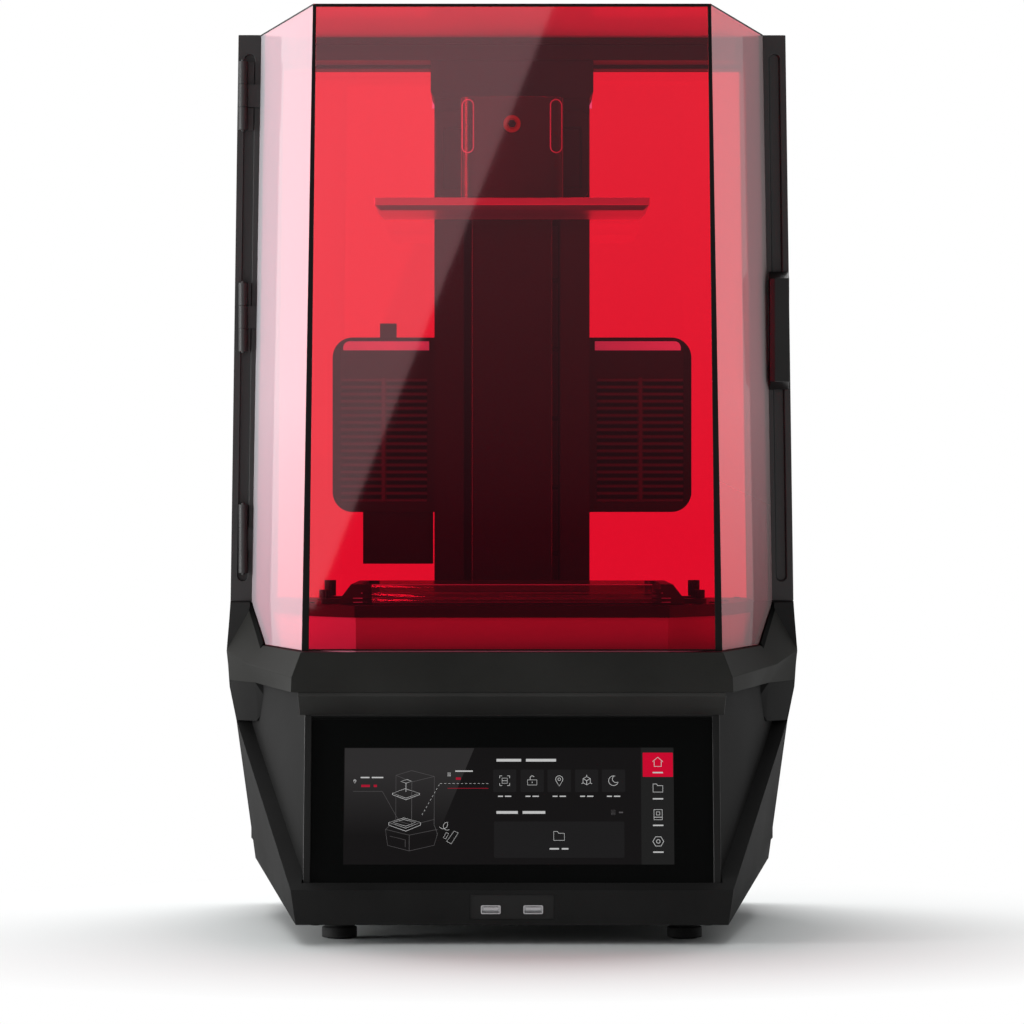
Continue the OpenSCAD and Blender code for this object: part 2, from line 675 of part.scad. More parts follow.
module top_beam() color(black) difference() {
  wide(frame_w, frame_front_d, frame_rear_d, beam_z, total_h);
  both() column_prism(column_in_x, column_x + 20, frame_front_d - 5, frame_rear_d + 5);
  // shallow channel along the underside
  wide(frame_w, frame_front_d + 14, frame_rear_d - 30, beam_z - 1, beam_z + 3);
}

module rear_windows() color(red_tint) difference() {
  both() slab(module_x + 0.3, column_in_x + 4, frame_rear_d - 12, frame_rear_d - 12 + window_t, deck_z, beam_z);
  both() column_prism(column_in_x, column_x + 20, frame_front_d - 5, frame_rear_d + 5);
  // notch round the tower's cap
  wide(cap_w + 0.6, frame_rear_d - 13, frame_rear_d - 11 + window_t, cap_z - 0.3, beam_z + 1);
}

// ---- tower ----
module tower_column() color("#202022") {
  translate([0, 0, deck_z]) linear_extrude(cap_z - deck_z) {
    both() {
      translate([tower_w / 2 - tower_wall, back(tower_front_d)]) square([tower_wall, tower_rear_d - tower_front_d]);
      translate([slot_w / 2, back(tower_front_d)]) square([tower_w / 2 - slot_w / 2, tower_wall]);
      translate([slot_w / 2, back(tower_front_d)]) square([1.6, tower_wall + 3]);
    }
    translate([-tower_w / 2 + 1, back(spine_d)]) square([tower_w - 2, 6]);
    translate([-tower_w / 2 + 1, back(tower_rear_d - tower_wall)]) square([tower_w - 2, tower_wall]);
    // strip that covers the slot and runs through the arm
    translate([-band_w / 2, back(band_d)]) square([band_w, band_t]);
  }
  // clamps at the ends of the strip
  for (z = [deck_z, cap_z - clamp_h]) wide(slot_w + 2, band_d, band_d + 3, z, z + clamp_h);
}

module tower_cap() color("#242426") difference() {
  corners(sym([[tower_w / 2, tower_front_d - 0.5, cap_z], [cap_w / 2, tower_front_d - 0.5, cap_z + 6],
    [cap_w / 2, tower_front_d - 0.5, beam_z], [tower_w / 2, tower_rear_d, cap_z], [cap_w / 2, tower_rear_d, cap_z + 6],
    [cap_w / 2, tower_rear_d, beam_z]]));
  wide(tower_w - 8, tower_front_d + 3, tower_rear_d - 3, cap_z - 1, beam_z - 4);
}

module linear_rails() color(steel) difference() {
  both() slab(rail_pitch / 2 - lin_w / 2, rail_pitch / 2 + lin_w / 2, lin_d, spine_d, deck_z + 8, cap_z - 4);
  both() for (s = [-1, 1]) slab(rail_pitch / 2 + s * lin_w / 2 - 1.2, rail_pitch / 2 + s * lin_w / 2 + 1.2,
    lin_d + 2.5, lin_d + 5, deck_z, cap_z);
}

module z_motor() color("#2b2c2e") {
  difference() {
    translate([0, back(screw_d), deck_under_z - 46]) linear_extrude(46) intersection() {
      square(42, center = true);
      circle(27);
    }
    upright(0, screw_d, deck_under_z - 14, deck_under_z + 1, screw_dia / 2 + 2);
  }
}

module screw_bearings() color(alloy) difference() {
  union() {
    wide(34, screw_d - 9, spine_d, deck_z, deck_z + 9);
    wide(34, screw_d - 9, spine_d, cap_z - 12, cap_z - 1);
  }
  upright(0, screw_d, deck_z - 1, cap_z + 5, screw_dia / 2 + run_gap);
}

module lead_screw() color(steel) {
  upright(0, screw_d, deck_under_z - 12, cap_z + 3, screw_dia / 2);
}

module module_face(g) {
  x1 = module_x + module_w;
  translate([module_x + g, module_z + g]) square([module_w - module_r - g, module_h - 2 * g]);
  translate([x1 - module_r - 1, module_z + module_r]) square([module_r + 1 - g, module_h - 2 * module_r]);
  for (z = [module_z + module_r, module_z + module_h - module_r]) translate([x1 - module_r, z]) circle(module_r - g);
}

module module_tray() difference() {
  along_depth(module_front_d + cover_d, module_front_d + module_d) module_face(0);
  along_depth(module_front_d + cover_d - 1, module_front_d + module_d - 2) module_face(module_wall);
}

module module_cover() difference() {
  along_depth(module_front_d, module_front_d + cover_d) module_face(0);
  along_depth(module_front_d + 2.5, module_front_d + cover_d + 1) module_face(module_wall);
  for (s = [-1, 1], i = [0 : louvres - 1])
    along_depth(module_front_d - 1, module_front_d + 4)
      translate([module_x + module_w / 2 + s * 18.5, module_z + 12 + i * louvre_pitch]) square([32, louvre_pitch - 3], center = true);
  // the outer end turns back
  translate([module_x + module_w - 7, back(module_front_d) - 1, 0]) rotate([0, 0, 28]) translate([0, -20, 0])
    cube([30, 20.6, total_h]);
}

module filter_housing() color("#232325") difference() {
  union() {
    mirror([1, 0, 0]) module_tray();
    // ribs that the cartridge stands on
    for (x = [14, 56]) slab(-module_x - x - 4, -module_x - x, module_front_d + 14, module_front_d + module_d - 1,
      module_z + 1, module_z + 5.8);
  }
  slab(-module_x - 70, -module_x - 4, module_front_d + 15.2, module_front_d + 43, module_z + 20, module_z + module_h + 1);
}

module filter_grille() color("#242426") mirror([1, 0, 0]) module_cover();

module filter_cartridge() color("#3a3a3c") {
  slab(-module_x - 69.5, -module_x - 4.5, module_front_d + 16, module_front_d + 42.6, module_z + 6, module_z + module_h - 6);
  slab(-module_x - 44, -module_x - 31, module_front_d + 24, module_front_d + 36, module_z + module_h - 6, module_z + module_h + 12);
}

module filter_duct() color("#232325") {
  duct_box();
  duct_spider();
}

module duct_box() difference() {
  slab(-duct_x - duct_w, -duct_x, module_front_d + 6, module_front_d + 6 + duct_d, module_z - duct_h, module_z);
  upright(-duct_x - duct_w / 2, module_front_d + 6 + duct_d / 2, module_z - duct_h - 1, module_z - 4, 18);
}

module duct_spider() translate([-duct_x - duct_w / 2, back(module_front_d + 6 + duct_d / 2), module_z - duct_h + 16])
  spider(19, 7, 11);

module filter_fan_rotor() color("#151515")
  translate([-duct_x - duct_w / 2, back(module_front_d + 6 + duct_d / 2), module_z - duct_h + 9]) rotor(16.8, 7, 9, 7, 32);

module heater_housing() color("#232325") {
  difference() {
    module_tray();
    // air intake along the underside
    for (i = [0 : 5]) slab(module_x + 7 + i * 9.5, module_x + 12 + i * 9.5, module_front_d + 18, module_front_d + module_d - 8,
      module_z - 1, module_z + module_wall + 1);
  }
  // boss and stub shaft for the fan
  endwise(module_x + module_w / 2, module_front_d + module_d - 5, module_front_d + module_d - 1, fan_z, 11);
  endwise(module_x + module_w / 2, module_front_d + module_d - 20, module_front_d + module_d - 1, fan_z, stub_r);
}

module heater_grille() color("#242426") module_cover();

module heater_core() color(alloy) {
  for (i = [0 : 11]) slab(module_x + 7, module_x + module_w - 11, module_front_d + 15, module_front_d + 25,
    module_z + 14 + i * 8.4, module_z + 15.6 + i * 8.4);
  for (x = [module_x + 22, module_x + module_w - 26])
    upright(x, module_front_d + 20, module_z + module_wall, module_z + module_h - module_wall, 3);
}

module heater_fan_rotor() color("#151515")
  translate([module_x + module_w / 2, back(module_front_d + 38), fan_z]) rotate([90, 0, 0]) rotor(fan_r, 11, 14, 7, 30);

// ---- inside the base ----
module projector() color("#303034") {
  front = projection_mid_d - 83;
  difference() {
    wide(projector_w, front, front + projector_l, bottom_z + 24, bottom_z + 24 + projector_h);
    for (i = [0 : 9]) both() slab(projector_w / 2 - 5, projector_w / 2 + 1, front + 20 + i * 15, front + 26 + i * 15,
      bottom_z + 34, bottom_z + 28 + projector_h);
  }
  for (s = [-1, 1], d = [front + 12, front + projector_l - 12])
    upright(s * (projector_w / 2 - 9), d, bottom_z + bottom_t, bottom_z + 24.5, 6);
  // the lens looks up at the window in the deck
  translate([0, back(projection_mid_d), bottom_z + 70]) rotate_extrude()
    polygon([[0, 0], [27, 0], [27, 40], [24, 42], [24, 58], [30, 66], [30, 74], [26, 74], [20, 68], [0, 71]]);
}

module power_supply() color(alloy) difference() {
  x = projector_w / 2 + 9;
  front = base_d - 40 - psu_l;
  slab(x, x + psu_w, front, front + psu_l, bottom_z + bottom_t, bottom_z + bottom_t + psu_h);
  for (i = [0 : 7]) slab(x - 2, x + 4, front + 14 + i * 22, front + 24 + i * 22, bottom_z + 14, bottom_z + bottom_t + psu_h - 8);
}

module mainboard() color("#1f4a33") {
  x = -projector_w / 2 - 11;
  rear = base_d - 60;
  floor_z = bottom_z + bottom_t;
  slab(x - board_w, x, rear - board_l, rear, floor_z + 8, floor_z + 9.6);
  for (px = [x - board_w + 6, x - 6], d = [rear - board_l + 6, rear - 6]) upright(px, d, floor_z, floor_z + 8.4, 3);
  for (i = [0 : 2]) slab(x - 46, x - 30, rear - board_l + 20 + i * 40, rear - board_l + 36 + i * 40, floor_z + 9, floor_z + 20);
}

// ---- hinges ----
module hinge_brackets() color("#19191b") for (z = hinge_zs, k = [-1, 1]) difference() {
  union() {
    upright(-axis_x, axis_d, z + k * knuckle - knuckle / 2 + 0.15, z + k * knuckle + knuckle / 2 - 0.15, barrel_r);
    slab(-axis_x - 2.4, -axis_x + 1.4, axis_d, frame_front_d, z + k * knuckle - knuckle / 2 + 0.15, z + k * knuckle + knuckle / 2 - 0.15);
    translate([-column_x, 0, seat_z]) rotate([0, column_lean, 0]) translate([column_x, 0, -seat_z])
      slab(-axis_x - 4.5, -axis_x + 2.5, frame_front_d - 0.2, frame_front_d + groove_t - 0.1,
        z + k * knuckle - knuckle / 2 + 0.15, z + k * knuckle + knuckle / 2 - 0.15);
  }
  upright(-axis_x, axis_d, z - hinge_len, z + hinge_len, pin_r + run_gap);
}

module hinge_pins() color(steel) for (z = hinge_zs) upright(-axis_x, axis_d, z - hinge_len / 2 - 1, z + hinge_len / 2 + 1, pin_r);

// ---- door ----
module hood_front() color(red_tint) {
  e = panel_gap / 2;
  corners(sym([for (z = [door_foot_z, total_h]) each [[front_x(z) - e, front_d(z), z],
    [front_x(z) - mitre - e, front_d(z) + panel_t, z]]]));
}

function side_pts(z, d) = [[side_at(z, d), d, z], [side_in(z, d, panel_t), d, z]];

module hood_side() {
  e = panel_gap / 2;
  corners(concat(
    [for (z = [door_foot_z, total_h]) each [[front_x(z) + e * flare, front_d(z) + e, z],
      [front_x(z) - mitre + e * flare, front_d(z) + panel_t + e, z]]],
    side_pts(door_foot_z, kink_d), side_pts(rim_top(hood_rear_d) + door_gap, hood_rear_d), side_pts(total_h, hood_rear_d)));
}

module hood_left() color(red_tint) mirror([1, 0, 0]) hood_side();
module hood_right() color(red_tint) hood_side();

module hood_top() color(red_tint) translate([0, 0, total_h - panel_t]) linear_extrude(panel_t)
  polygon([for (s = [1, -1]) for (i = s > 0 ? [0, 1] : [1, 0])
    let (d = i ? hood_rear_d : front_d(total_h) + panel_t + panel_gap)
      [s * (side_in(total_h, d, panel_t) - panel_gap), back(d)]]);

module door_rails() color("#161618") {
  d0 = hood_rear_d - rail_d;
  foot = rim_top(hood_rear_d) + door_gap + 1;
  both() corners([for (z = [foot, total_h - panel_t - 0.2]) for (d = [d0, hood_rear_d]) for (t = [0.05, rail_w])
    [side_in(z, d, panel_t) - t, d, z]]);
  difference() {
    wide(2 * side_in(total_h, hood_rear_d, panel_t) - 2 * rail_w - 2, d0, hood_rear_d, total_h - panel_t - 5, total_h - panel_t - 0.2);
    both() corners([for (z = [foot, total_h]) for (d = [d0 - 1, hood_rear_d + 1]) for (t = [0.05, rail_w])
      [side_in(z, d, panel_t) - t, d, z]]);
  }
}

module door_hinge_leaves() color("#19191b") for (z = hinge_zs) difference() {
  union() {
    upright(-axis_x, axis_d, z - knuckle / 2 + 0.15, z + knuckle / 2 - 0.15, barrel_r);
    slab(-axis_x, -side_in(z, hood_rear_d, panel_t) + rail_w - 1, hood_rear_d, hood_rear_d + leaf_t, z - knuckle / 2 + 0.15, z + knuckle / 2 - 0.15);
  }
  upright(-axis_x, axis_d, z - hinge_len, z + hinge_len, pin_r + run_gap);
}

module door_handle() color("#2b2b2d") {
  x_in = side_at(handle_z - handle_h / 2, hood_rear_d) + 0.3;
  x_out = column_x - 4;
  difference() {
    corners([for (e = [-1, 1]) let (z = handle_z + e * handle_h / 2, zi = handle_z + e * (handle_h / 2 - 6)) each
      [[x_in, hood_rear_d - 13, zi], [x_in, hood_rear_d + 1.5, z], [x_out, hood_rear_d - 9, zi], [x_out, hood_rear_d + 1.5, z],
       [x_in + 4, hood_rear_d - 15, zi]]]);
    translate([x_out + 4, back(hood_rear_d + 2), handle_z]) cylinder(r = 11, h = handle_h - 26, center = true);
  }
  // two tabs that screw to the door's rail
  for (e = [-1, 1]) slab(side_in(handle_z, hood_rear_d, panel_t) - rail_w + 1, x_in + 3, hood_rear_d, hood_rear_d + 1.5,
    handle_z + e * 34 - 6, handle_z + e * 34 + 6);
}

// ---- carriage ----
module rail_block(x, z) difference() {
  slab(x - block_w / 2, x + block_w / 2, block_front_d, block_front_d + block_t, z, z + block_h);
  slab(x - lin_w / 2 - block_gap, x + lin_w / 2 + block_gap, lin_d - block_gap, spine_d, z - 1, z + block_h + 1);
}

module carriage_plate() color(alloy) {
  difference() {
    wide(rail_pitch + block_w, plate_front_d, block_front_d, arm_z, arm_z + arm_h - 2);
    for (x = [-1, 1], z = [arm_z + 8, arm_z + arm_h - 12]) endwise(x * 20, plate_front_d - 1, block_front_d + 1, z, 2.5);
    upright(0, screw_d, arm_z - 1, arm_z + arm_h + 1, screw_dia / 2 + 3);
  }
  for (x = [-1, 1], z = [arm_z, arm_z + arm_h - 2 - block_h]) rail_block(x * rail_pitch / 2, z);
  difference() {
    wide(23, block_front_d, spine_d - 1.5, arm_z + 14, arm_z + 44);
    upright(0, screw_d, arm_z - 1, arm_z + arm_h + 1, screw_dia / 2 + lift_gap);
  }
}

module platform_arm() color("#2c2c2e") difference() {
  union() {
    along_depth(arm_front_d, arm_rear_d) translate([0, arm_z + arm_h / 2]) soft_rect(tower_w - 2, arm_h, 7);
    wide(slot_w - 4, arm_rear_d - 1, plate_front_d, arm_z + 6, arm_z + arm_h - 4);
    along_depth(tongue_front_d, arm_front_d + 1) translate([0, tongue_z]) soft_rect(tongue_w, tongue_h, 3);
  }
  // passage for the strip that covers the tower's slot
  wide(band_w + 2, band_d - 0.6, band_d + band_t + 0.8, arm_z, arm_z + arm_h);
  endwise(0, tongue_front_d - 1, tongue_front_d + 16, tongue_z, lock_r + 0.2);
  // lightening pockets beside the tongue
  both() slab(tongue_w / 2 + 12, tower_w / 2 - 7, arm_front_d - 1, arm_front_d + 5, arm_z + 8, arm_z + arm_h - 14);
}

module build_platform() color("#c9cbd0") {
  skirt = 4.2;
  corners(sym([[platform_w / 2, platform_front_d, platform_top_z], [platform_w / 2, platform_front_d, platform_top_z - 5.5],
    [platform_w / 2 - skirt, platform_front_d + skirt, platform_z],
    [platform_w / 2, platform_front_d + platform_d, platform_top_z],
    [platform_w / 2, platform_front_d + platform_d, platform_top_z - 5.5],
    [platform_w / 2 - skirt, platform_front_d + platform_d - skirt, platform_z]]));
}

module platform_bracket() color("#37373a") difference() {
  translate([0, back((bracket_front_d + bracket_rear_d) / 2), platform_top_z]) linear_extrude(bracket_h)
    soft_rect(bracket_w, bracket_rear_d - bracket_front_d, 10);
  along_depth(tongue_front_d - tongue_gap, arm_front_d + 5) translate([0, tongue_z])
    square([tongue_w + 2 * tongue_gap, tongue_h + 2 * tongue_gap], center = true);
  endwise(0, bracket_front_d - 1, tongue_front_d, tongue_z, lock_r + run_gap);
  // open bridge between the foot and the sleeve
  across(-bracket_w, bracket_w) polygon([[bracket_front_d + 16, platform_top_z + 8], [bracket_rear_d - 16, platform_top_z + 8],
    [bracket_rear_d - 20, tongue_z - tongue_h / 2 - 5], [bracket_front_d + 20, tongue_z - tongue_h / 2 - 5]]);
}

module arm_lock_knob() color("#8a1420") difference() {
  union() {
    endwise(0, bracket_front_d - 6, bracket_front_d - 0.3, tongue_z, lock_dia / 2);
    endwise(0, bracket_front_d - 1, tongue_front_d + 12, tongue_z, lock_r);
  }
  along_depth(bracket_front_d - 7, bracket_front_d - 2) translate([0, tongue_z]) circle(3.4, $fn = 6);
}

// ---- vat ----
module vat_frame() color([0.62, 0.64, 0.67, 0.5]) difference() {
  union() {
    along_depth(vat_front_d, vat_front_d + vat_d) polygon([[-vat_w / 2, vat_z], [vat_w / 2, vat_z], [vat_w / 2, vat_z + 4],
      [vat_w / 2 - 8.5, vat_z + vat_h], [-vat_w / 2 + 8.5, vat_z + vat_h], [-vat_w / 2, vat_z + 4]]);
    for (s = [-1, 1], d = knob_ds) {
      slab(min(s * knob_x, s * (vat_w / 2 - 4)), max(s * knob_x, s * (vat_w / 2 - 4)), d - 6, d + 6, vat_z, vat_z + ear_t);
      upright(s * knob_x, d, vat_z, vat_z + ear_t, 6);
    }
    // ribs along the front wall
    for (z = [1.5, 4.4, 8.2]) wide(cavity_w - 2, vat_front_d - 0.7, vat_front_d + 1, vat_z + z, vat_z + z + 0.8);
  }
  translate([0, back(vat_mid_d), vat_z - 1]) linear_extrude(vat_h + 2) soft_rect(cavity_w, cavity_d, 12);
  translate([0, back(vat_mid_d), vat_z - 1]) linear_extrude(film_z - vat_z + 1)
    soft_rect(cavity_w + 2 * film_margin, cavity_d + 2 * film_margin, 12);
  for (s = [-1, 1], d = knob_ds) upright(s * knob_x, d, vat_z - 1, vat_z + vat_h, shank_r + run_gap);
  // pouring lip at the front corner
  translate([cavity_w / 2 - 16, back(vat_front_d + 8), vat_z + vat_h]) rotate([0, 0, 45]) cube([9, 40, 7], center = true);
}

module vat_film() color([0.8, 0.8, 0.85, 0.5]) translate([0, back(vat_mid_d), 0]) {
  translate([0, 0, film_z - film_t]) linear_extrude(film_t)
    soft_rect(cavity_w + 2 * film_margin - 0.4, cavity_d + 2 * film_margin - 0.4, 11.8);
  translate([0, 0, vat_z]) linear_extrude(film_z - vat_z - film_t + 0.1) difference() {
    soft_rect(cavity_w + 2 * film_margin - 0.4, cavity_d + 2 * film_margin - 0.4, 11.8);
    soft_rect(cavity_w, cavity_d, 12);
  }
}

module vat_knob(x, d, top) {
  knob_z = vat_z + ear_t + lift_gap;
  translate([x, back(d), knob_z]) linear_extrude(top - knob_z) difference() {
    circle(knob_r);
    for (i = [0 : 11]) rotate(i * 30) translate([knob_r + 0.35, 0]) circle(0.8, $fn = 16);
  }
  upright(x, d, deck_under_z + 1, knob_z + 0.5, shank_r);
}

module vat_knob_front_left() color("#2a2a2c") vat_knob(-knob_x, knob_ds[0], knob_zs[0]);
module vat_knob_front_right() color("#2a2a2c") vat_knob(knob_x, knob_ds[0], knob_zs[0]);
module vat_knob_rear_left() color("#2a2a2c") vat_knob(-knob_x, knob_ds[1], knob_zs[1]);
module vat_knob_rear_right() color("#2a2a2c") vat_knob(knob_x, knob_ds[1], knob_zs[1]);

base_shell();
base_rim();
front_fascia();
screen_bezel();
screen_glass();
display_panel();
usb_panel();
data_ports();
bottom_plate();
feet();
rear_panel();
power_inlet();
power_switch();
cooling_fan_frame();
cooling_fan_rotor();
deck_plate();
front_apron();
projection_window();
left_column();
right_column();
top_beam();
rear_windows();
tower_column();
tower_cap();
linear_rails();
z_motor();
screw_bearings();
lead_screw();
filter_housing();
filter_grille();
filter_duct();
filter_fan_rotor();
filter_cartridge();
heater_housing();
heater_grille();
heater_core();
heater_fan_rotor();
projector();
power_supply();
mainboard();
hinge_brackets();
hinge_pins();
hood_front();
hood_left();
hood_right();
hood_top();
door_rails();
door_hinge_leaves();
door_handle();
carriage_plate();
platform_arm();
build_platform();
platform_bracket();
arm_lock_knob();
vat_frame();
vat_film();
vat_knob_front_left();
vat_knob_front_right();
vat_knob_rear_left();
vat_knob_rear_right();
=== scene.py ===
# Resin printer with a tinted hood: finishes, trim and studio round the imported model
import bpy
import json
import math
from mathutils import Matrix, Vector

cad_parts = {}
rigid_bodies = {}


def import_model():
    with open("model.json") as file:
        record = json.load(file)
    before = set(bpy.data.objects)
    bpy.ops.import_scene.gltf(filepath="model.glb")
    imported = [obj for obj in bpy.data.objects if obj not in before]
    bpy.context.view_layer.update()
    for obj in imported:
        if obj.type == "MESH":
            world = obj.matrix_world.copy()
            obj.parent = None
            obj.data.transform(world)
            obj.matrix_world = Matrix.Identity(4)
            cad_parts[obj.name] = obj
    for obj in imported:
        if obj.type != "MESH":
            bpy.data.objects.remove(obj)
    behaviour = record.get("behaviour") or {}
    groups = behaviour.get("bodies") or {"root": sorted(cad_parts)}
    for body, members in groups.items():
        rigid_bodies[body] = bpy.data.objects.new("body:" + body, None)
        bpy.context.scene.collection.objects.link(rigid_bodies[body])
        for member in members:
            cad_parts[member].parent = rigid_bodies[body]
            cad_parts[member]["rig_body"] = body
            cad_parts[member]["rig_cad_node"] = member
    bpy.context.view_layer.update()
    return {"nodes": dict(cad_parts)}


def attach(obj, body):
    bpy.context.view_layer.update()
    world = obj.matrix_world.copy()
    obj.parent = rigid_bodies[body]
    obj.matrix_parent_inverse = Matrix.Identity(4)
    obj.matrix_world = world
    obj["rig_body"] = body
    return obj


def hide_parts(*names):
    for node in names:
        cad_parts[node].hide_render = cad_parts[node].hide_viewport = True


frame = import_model()
nodes = frame["nodes"]
print("frame:", len(nodes), "nodes")


# shared steps for modelling
def deselectAll():
    bpy.ops.object.select_all(action="DESELECT")


def takeUp(piece):
    deselectAll()
    piece.select_set(True)
    bpy.context.view_layer.objects.active = piece


def freeze(piece):
    takeUp(piece)
    bpy.ops.object.transform_apply(location=True, rotation=True, scale=True)


def applyModifier(piece, kind, **settings):
    takeUp(piece)
    modifier = piece.modifiers.new(kind.title(), kind)
    for key, value in settings.items():
        setattr(modifier, key, value)
    bpy.ops.object.modifier_apply(modifier=modifier.name)


def roundOver(piece, width, segments=2):
    applyModifier(piece, "BEVEL", width=width, segments=segments, limit_method="ANGLE", harden_normals=True)


# selects verts, edges or faces by a test, and leaves the piece in edit mode
def pick(piece, kind, test):
    takeUp(piece)
    bpy.ops.object.mode_set(mode="EDIT")
    bpy.ops.mesh.select_mode(type=kind)
    bpy.ops.mesh.select_all(action="DESELECT")
    bpy.ops.object.mode_set(mode="OBJECT")
    parts = {"VERT": piece.data.vertices, "EDGE": piece.data.edges, "FACE": piece.data.polygons}[kind]
    for part in parts:
        part.select = bool(test(part))
    bpy.ops.object.mode_set(mode="EDIT")


def pickAll(piece):
    pick(piece, "FACE", lambda face: True)


def pickTop(piece):
    pick(piece, "FACE", lambda face: face.normal.z > 0.9)


def leaveEdit():
    bpy.ops.object.mode_set(mode="OBJECT")


def startBlock(size, place=(0, 0, 0)):
    deselectAll()
    bpy.ops.mesh.primitive_cube_add(size=1, location=place)
    piece = bpy.context.object
    piece.scale = size
    bpy.ops.object.transform_apply(location=True, rotation=False, scale=True)
    return piece


# a block that fills the x, y and z ranges of a look
def startFilled(look):
    return startBlock([look[k][1] - look[k][0] for k in "xyz"], [(look[k][1] + look[k][0]) / 2 for k in "xyz"])


def startDisc(sides, radius, deep, middle=0):
    deselectAll()
    bpy.ops.mesh.primitive_cylinder_add(vertices=sides, radius=radius, depth=deep, location=(0, 0, middle))
    return bpy.context.object


def joinAll(parts):
    deselectAll()
    for part in parts:
        part.select_set(True)
    bpy.context.view_layer.objects.active = parts[0]
    bpy.ops.object.join()
    return bpy.context.object


def copyTo(master, place, turn=(0, 0, 0)):
    takeUp(master)
    bpy.ops.object.duplicate(linked=False)
    piece = bpy.context.object
    piece.location = place
    piece.rotation_euler = turn
    return piece


# turns a piece into its mirror image across the middle of the printer
def flip(piece):
    freeze(piece)
    piece.scale = (-1, 1, 1)
    bpy.ops.object.transform_apply(location=False, rotation=False, scale=True)
    pickAll(piece)
    bpy.ops.mesh.normals_make_consistent(inside=False)
    leaveEdit()


def onSide(side, point):
    return (side * point[0], point[1], point[2])


forward = (0, -1, 0)


# a straight bar from one point to another, flat towards one side, that may narrow towards its end
def barAlong(start, end, facing, width, depth, rounding=0.0002, endWidth=None):
    start, end = Vector(start), Vector(end)
    length = (end - start).length
    piece = startBlock((width, depth, length))
    if endWidth:
        pick(piece, "VERT", lambda vert: vert.co.z > 0)
        bpy.ops.transform.resize(value=(endWidth / width, 1, 1), center_override=(0, 0, length / 2))
        leaveEdit()
    roundOver(piece, rounding)
    along = (end - start).normalized()
    out = Vector(facing)
    out = (out - out.dot(along) * along).normalized()
    turn = Matrix((out.cross(along), out, along)).transposed().to_4x4()
    piece.matrix_world = Matrix.Translation((start + end) / 2) @ turn
    return piece


# a long lens, level with the middle of the hood
cameraSetup = {"place": (0, -3.8, 0.316), "lens": 173.4, "sensor": 36}


def addCamera():
    deselectAll()
    bpy.ops.object.camera_add(location=cameraSetup["place"], rotation=(math.radians(90), 0, 0))
    camera = bpy.context.object
    camera.data.lens = cameraSetup["lens"]
    camera.data.sensor_width = cameraSetup["sensor"]
    bpy.context.scene.camera = camera


addCamera()


# small helpers that lay out a material's nodes
def startMaterial(name):
    material = bpy.data.materials.new(name)
    material.use_nodes = True
    tree = material.node_tree
    tree.nodes.clear()
    return material, tree, tree.nodes.new("ShaderNodeOutputMaterial")


def put(tree, kind, values=None, **settings):
    node = tree.nodes.new(kind)
    for key, value in settings.items():
        setattr(node, key, value)
    for key, value in (values or {}).items():
        node.inputs[key].default_value = value
    return node


# a socket takes a number, or what another node puts out
def wire(tree, source, target):
    if isinstance(source, (int, float)):
        target.default_value = source
    else:
        tree.links.new(source, target)


def objectPoints(tree, stretch=(1, 1, 1)):
    coord = put(tree, "ShaderNodeTexCoord")
    mapping = put(tree, "ShaderNodeMapping", {"Scale": stretch})
    wire(tree, coord.outputs["Object"], mapping.inputs["Vector"])
    return mapping.outputs["Vector"]


def heightOf(tree, points):
    axes = put(tree, "ShaderNodeSeparateXYZ")
    wire(tree, points, axes.inputs[0])
    return axes.outputs["Z"]


def ramp(tree, source, spread, values=(0, 1)):
    node = put(tree, "ShaderNodeMapRange", {"From Min": spread[0], "From Max": spread[1],
                                            "To Min": values[0], "To Max": values[1]})
    wire(tree, source, node.inputs["Value"])
    return node.outputs["Result"]


def blend(tree, operation, first, second):
    node = put(tree, "ShaderNodeMath", operation=operation)
    wire(tree, first, node.inputs[0])
    wire(tree, second, node.inputs[1])
    return node.outputs[0]


def colourBlend(tree, factor, first, second):
    node = put(tree, "ShaderNodeMix", data_type="RGBA")
    node.inputs["A"].default_value = (*first, 1)
    node.inputs["B"].default_value = (*second, 1)
    wire(tree, factor, node.inputs["Factor"])
    return node.outputs["Result"]


def shaderBlend(tree, share, first, second):
    node = put(tree, "ShaderNodeMixShader")
    wire(tree, share, node.inputs["Fac"])
    wire(tree, first.outputs[0], node.inputs[1])
    wire(tree, second.outputs[0], node.inputs[2])
    return node


# one surface: a colour that wanders a little, a fine grain in the relief, and roughness that varies with handling
grained = {
    "blotchScale": 14, "blotchDetail": 4, "grainDetail": 2, "grainRoughness": 0.6, "wornGain": 1.25,
    "wornSpread": (0.35, 0.65), "roughSpread": (0.3, 0.7), "smoother": 0.04, "rougher": 0.05,
    "relief": 0.3, "depth": 0.0002,
}


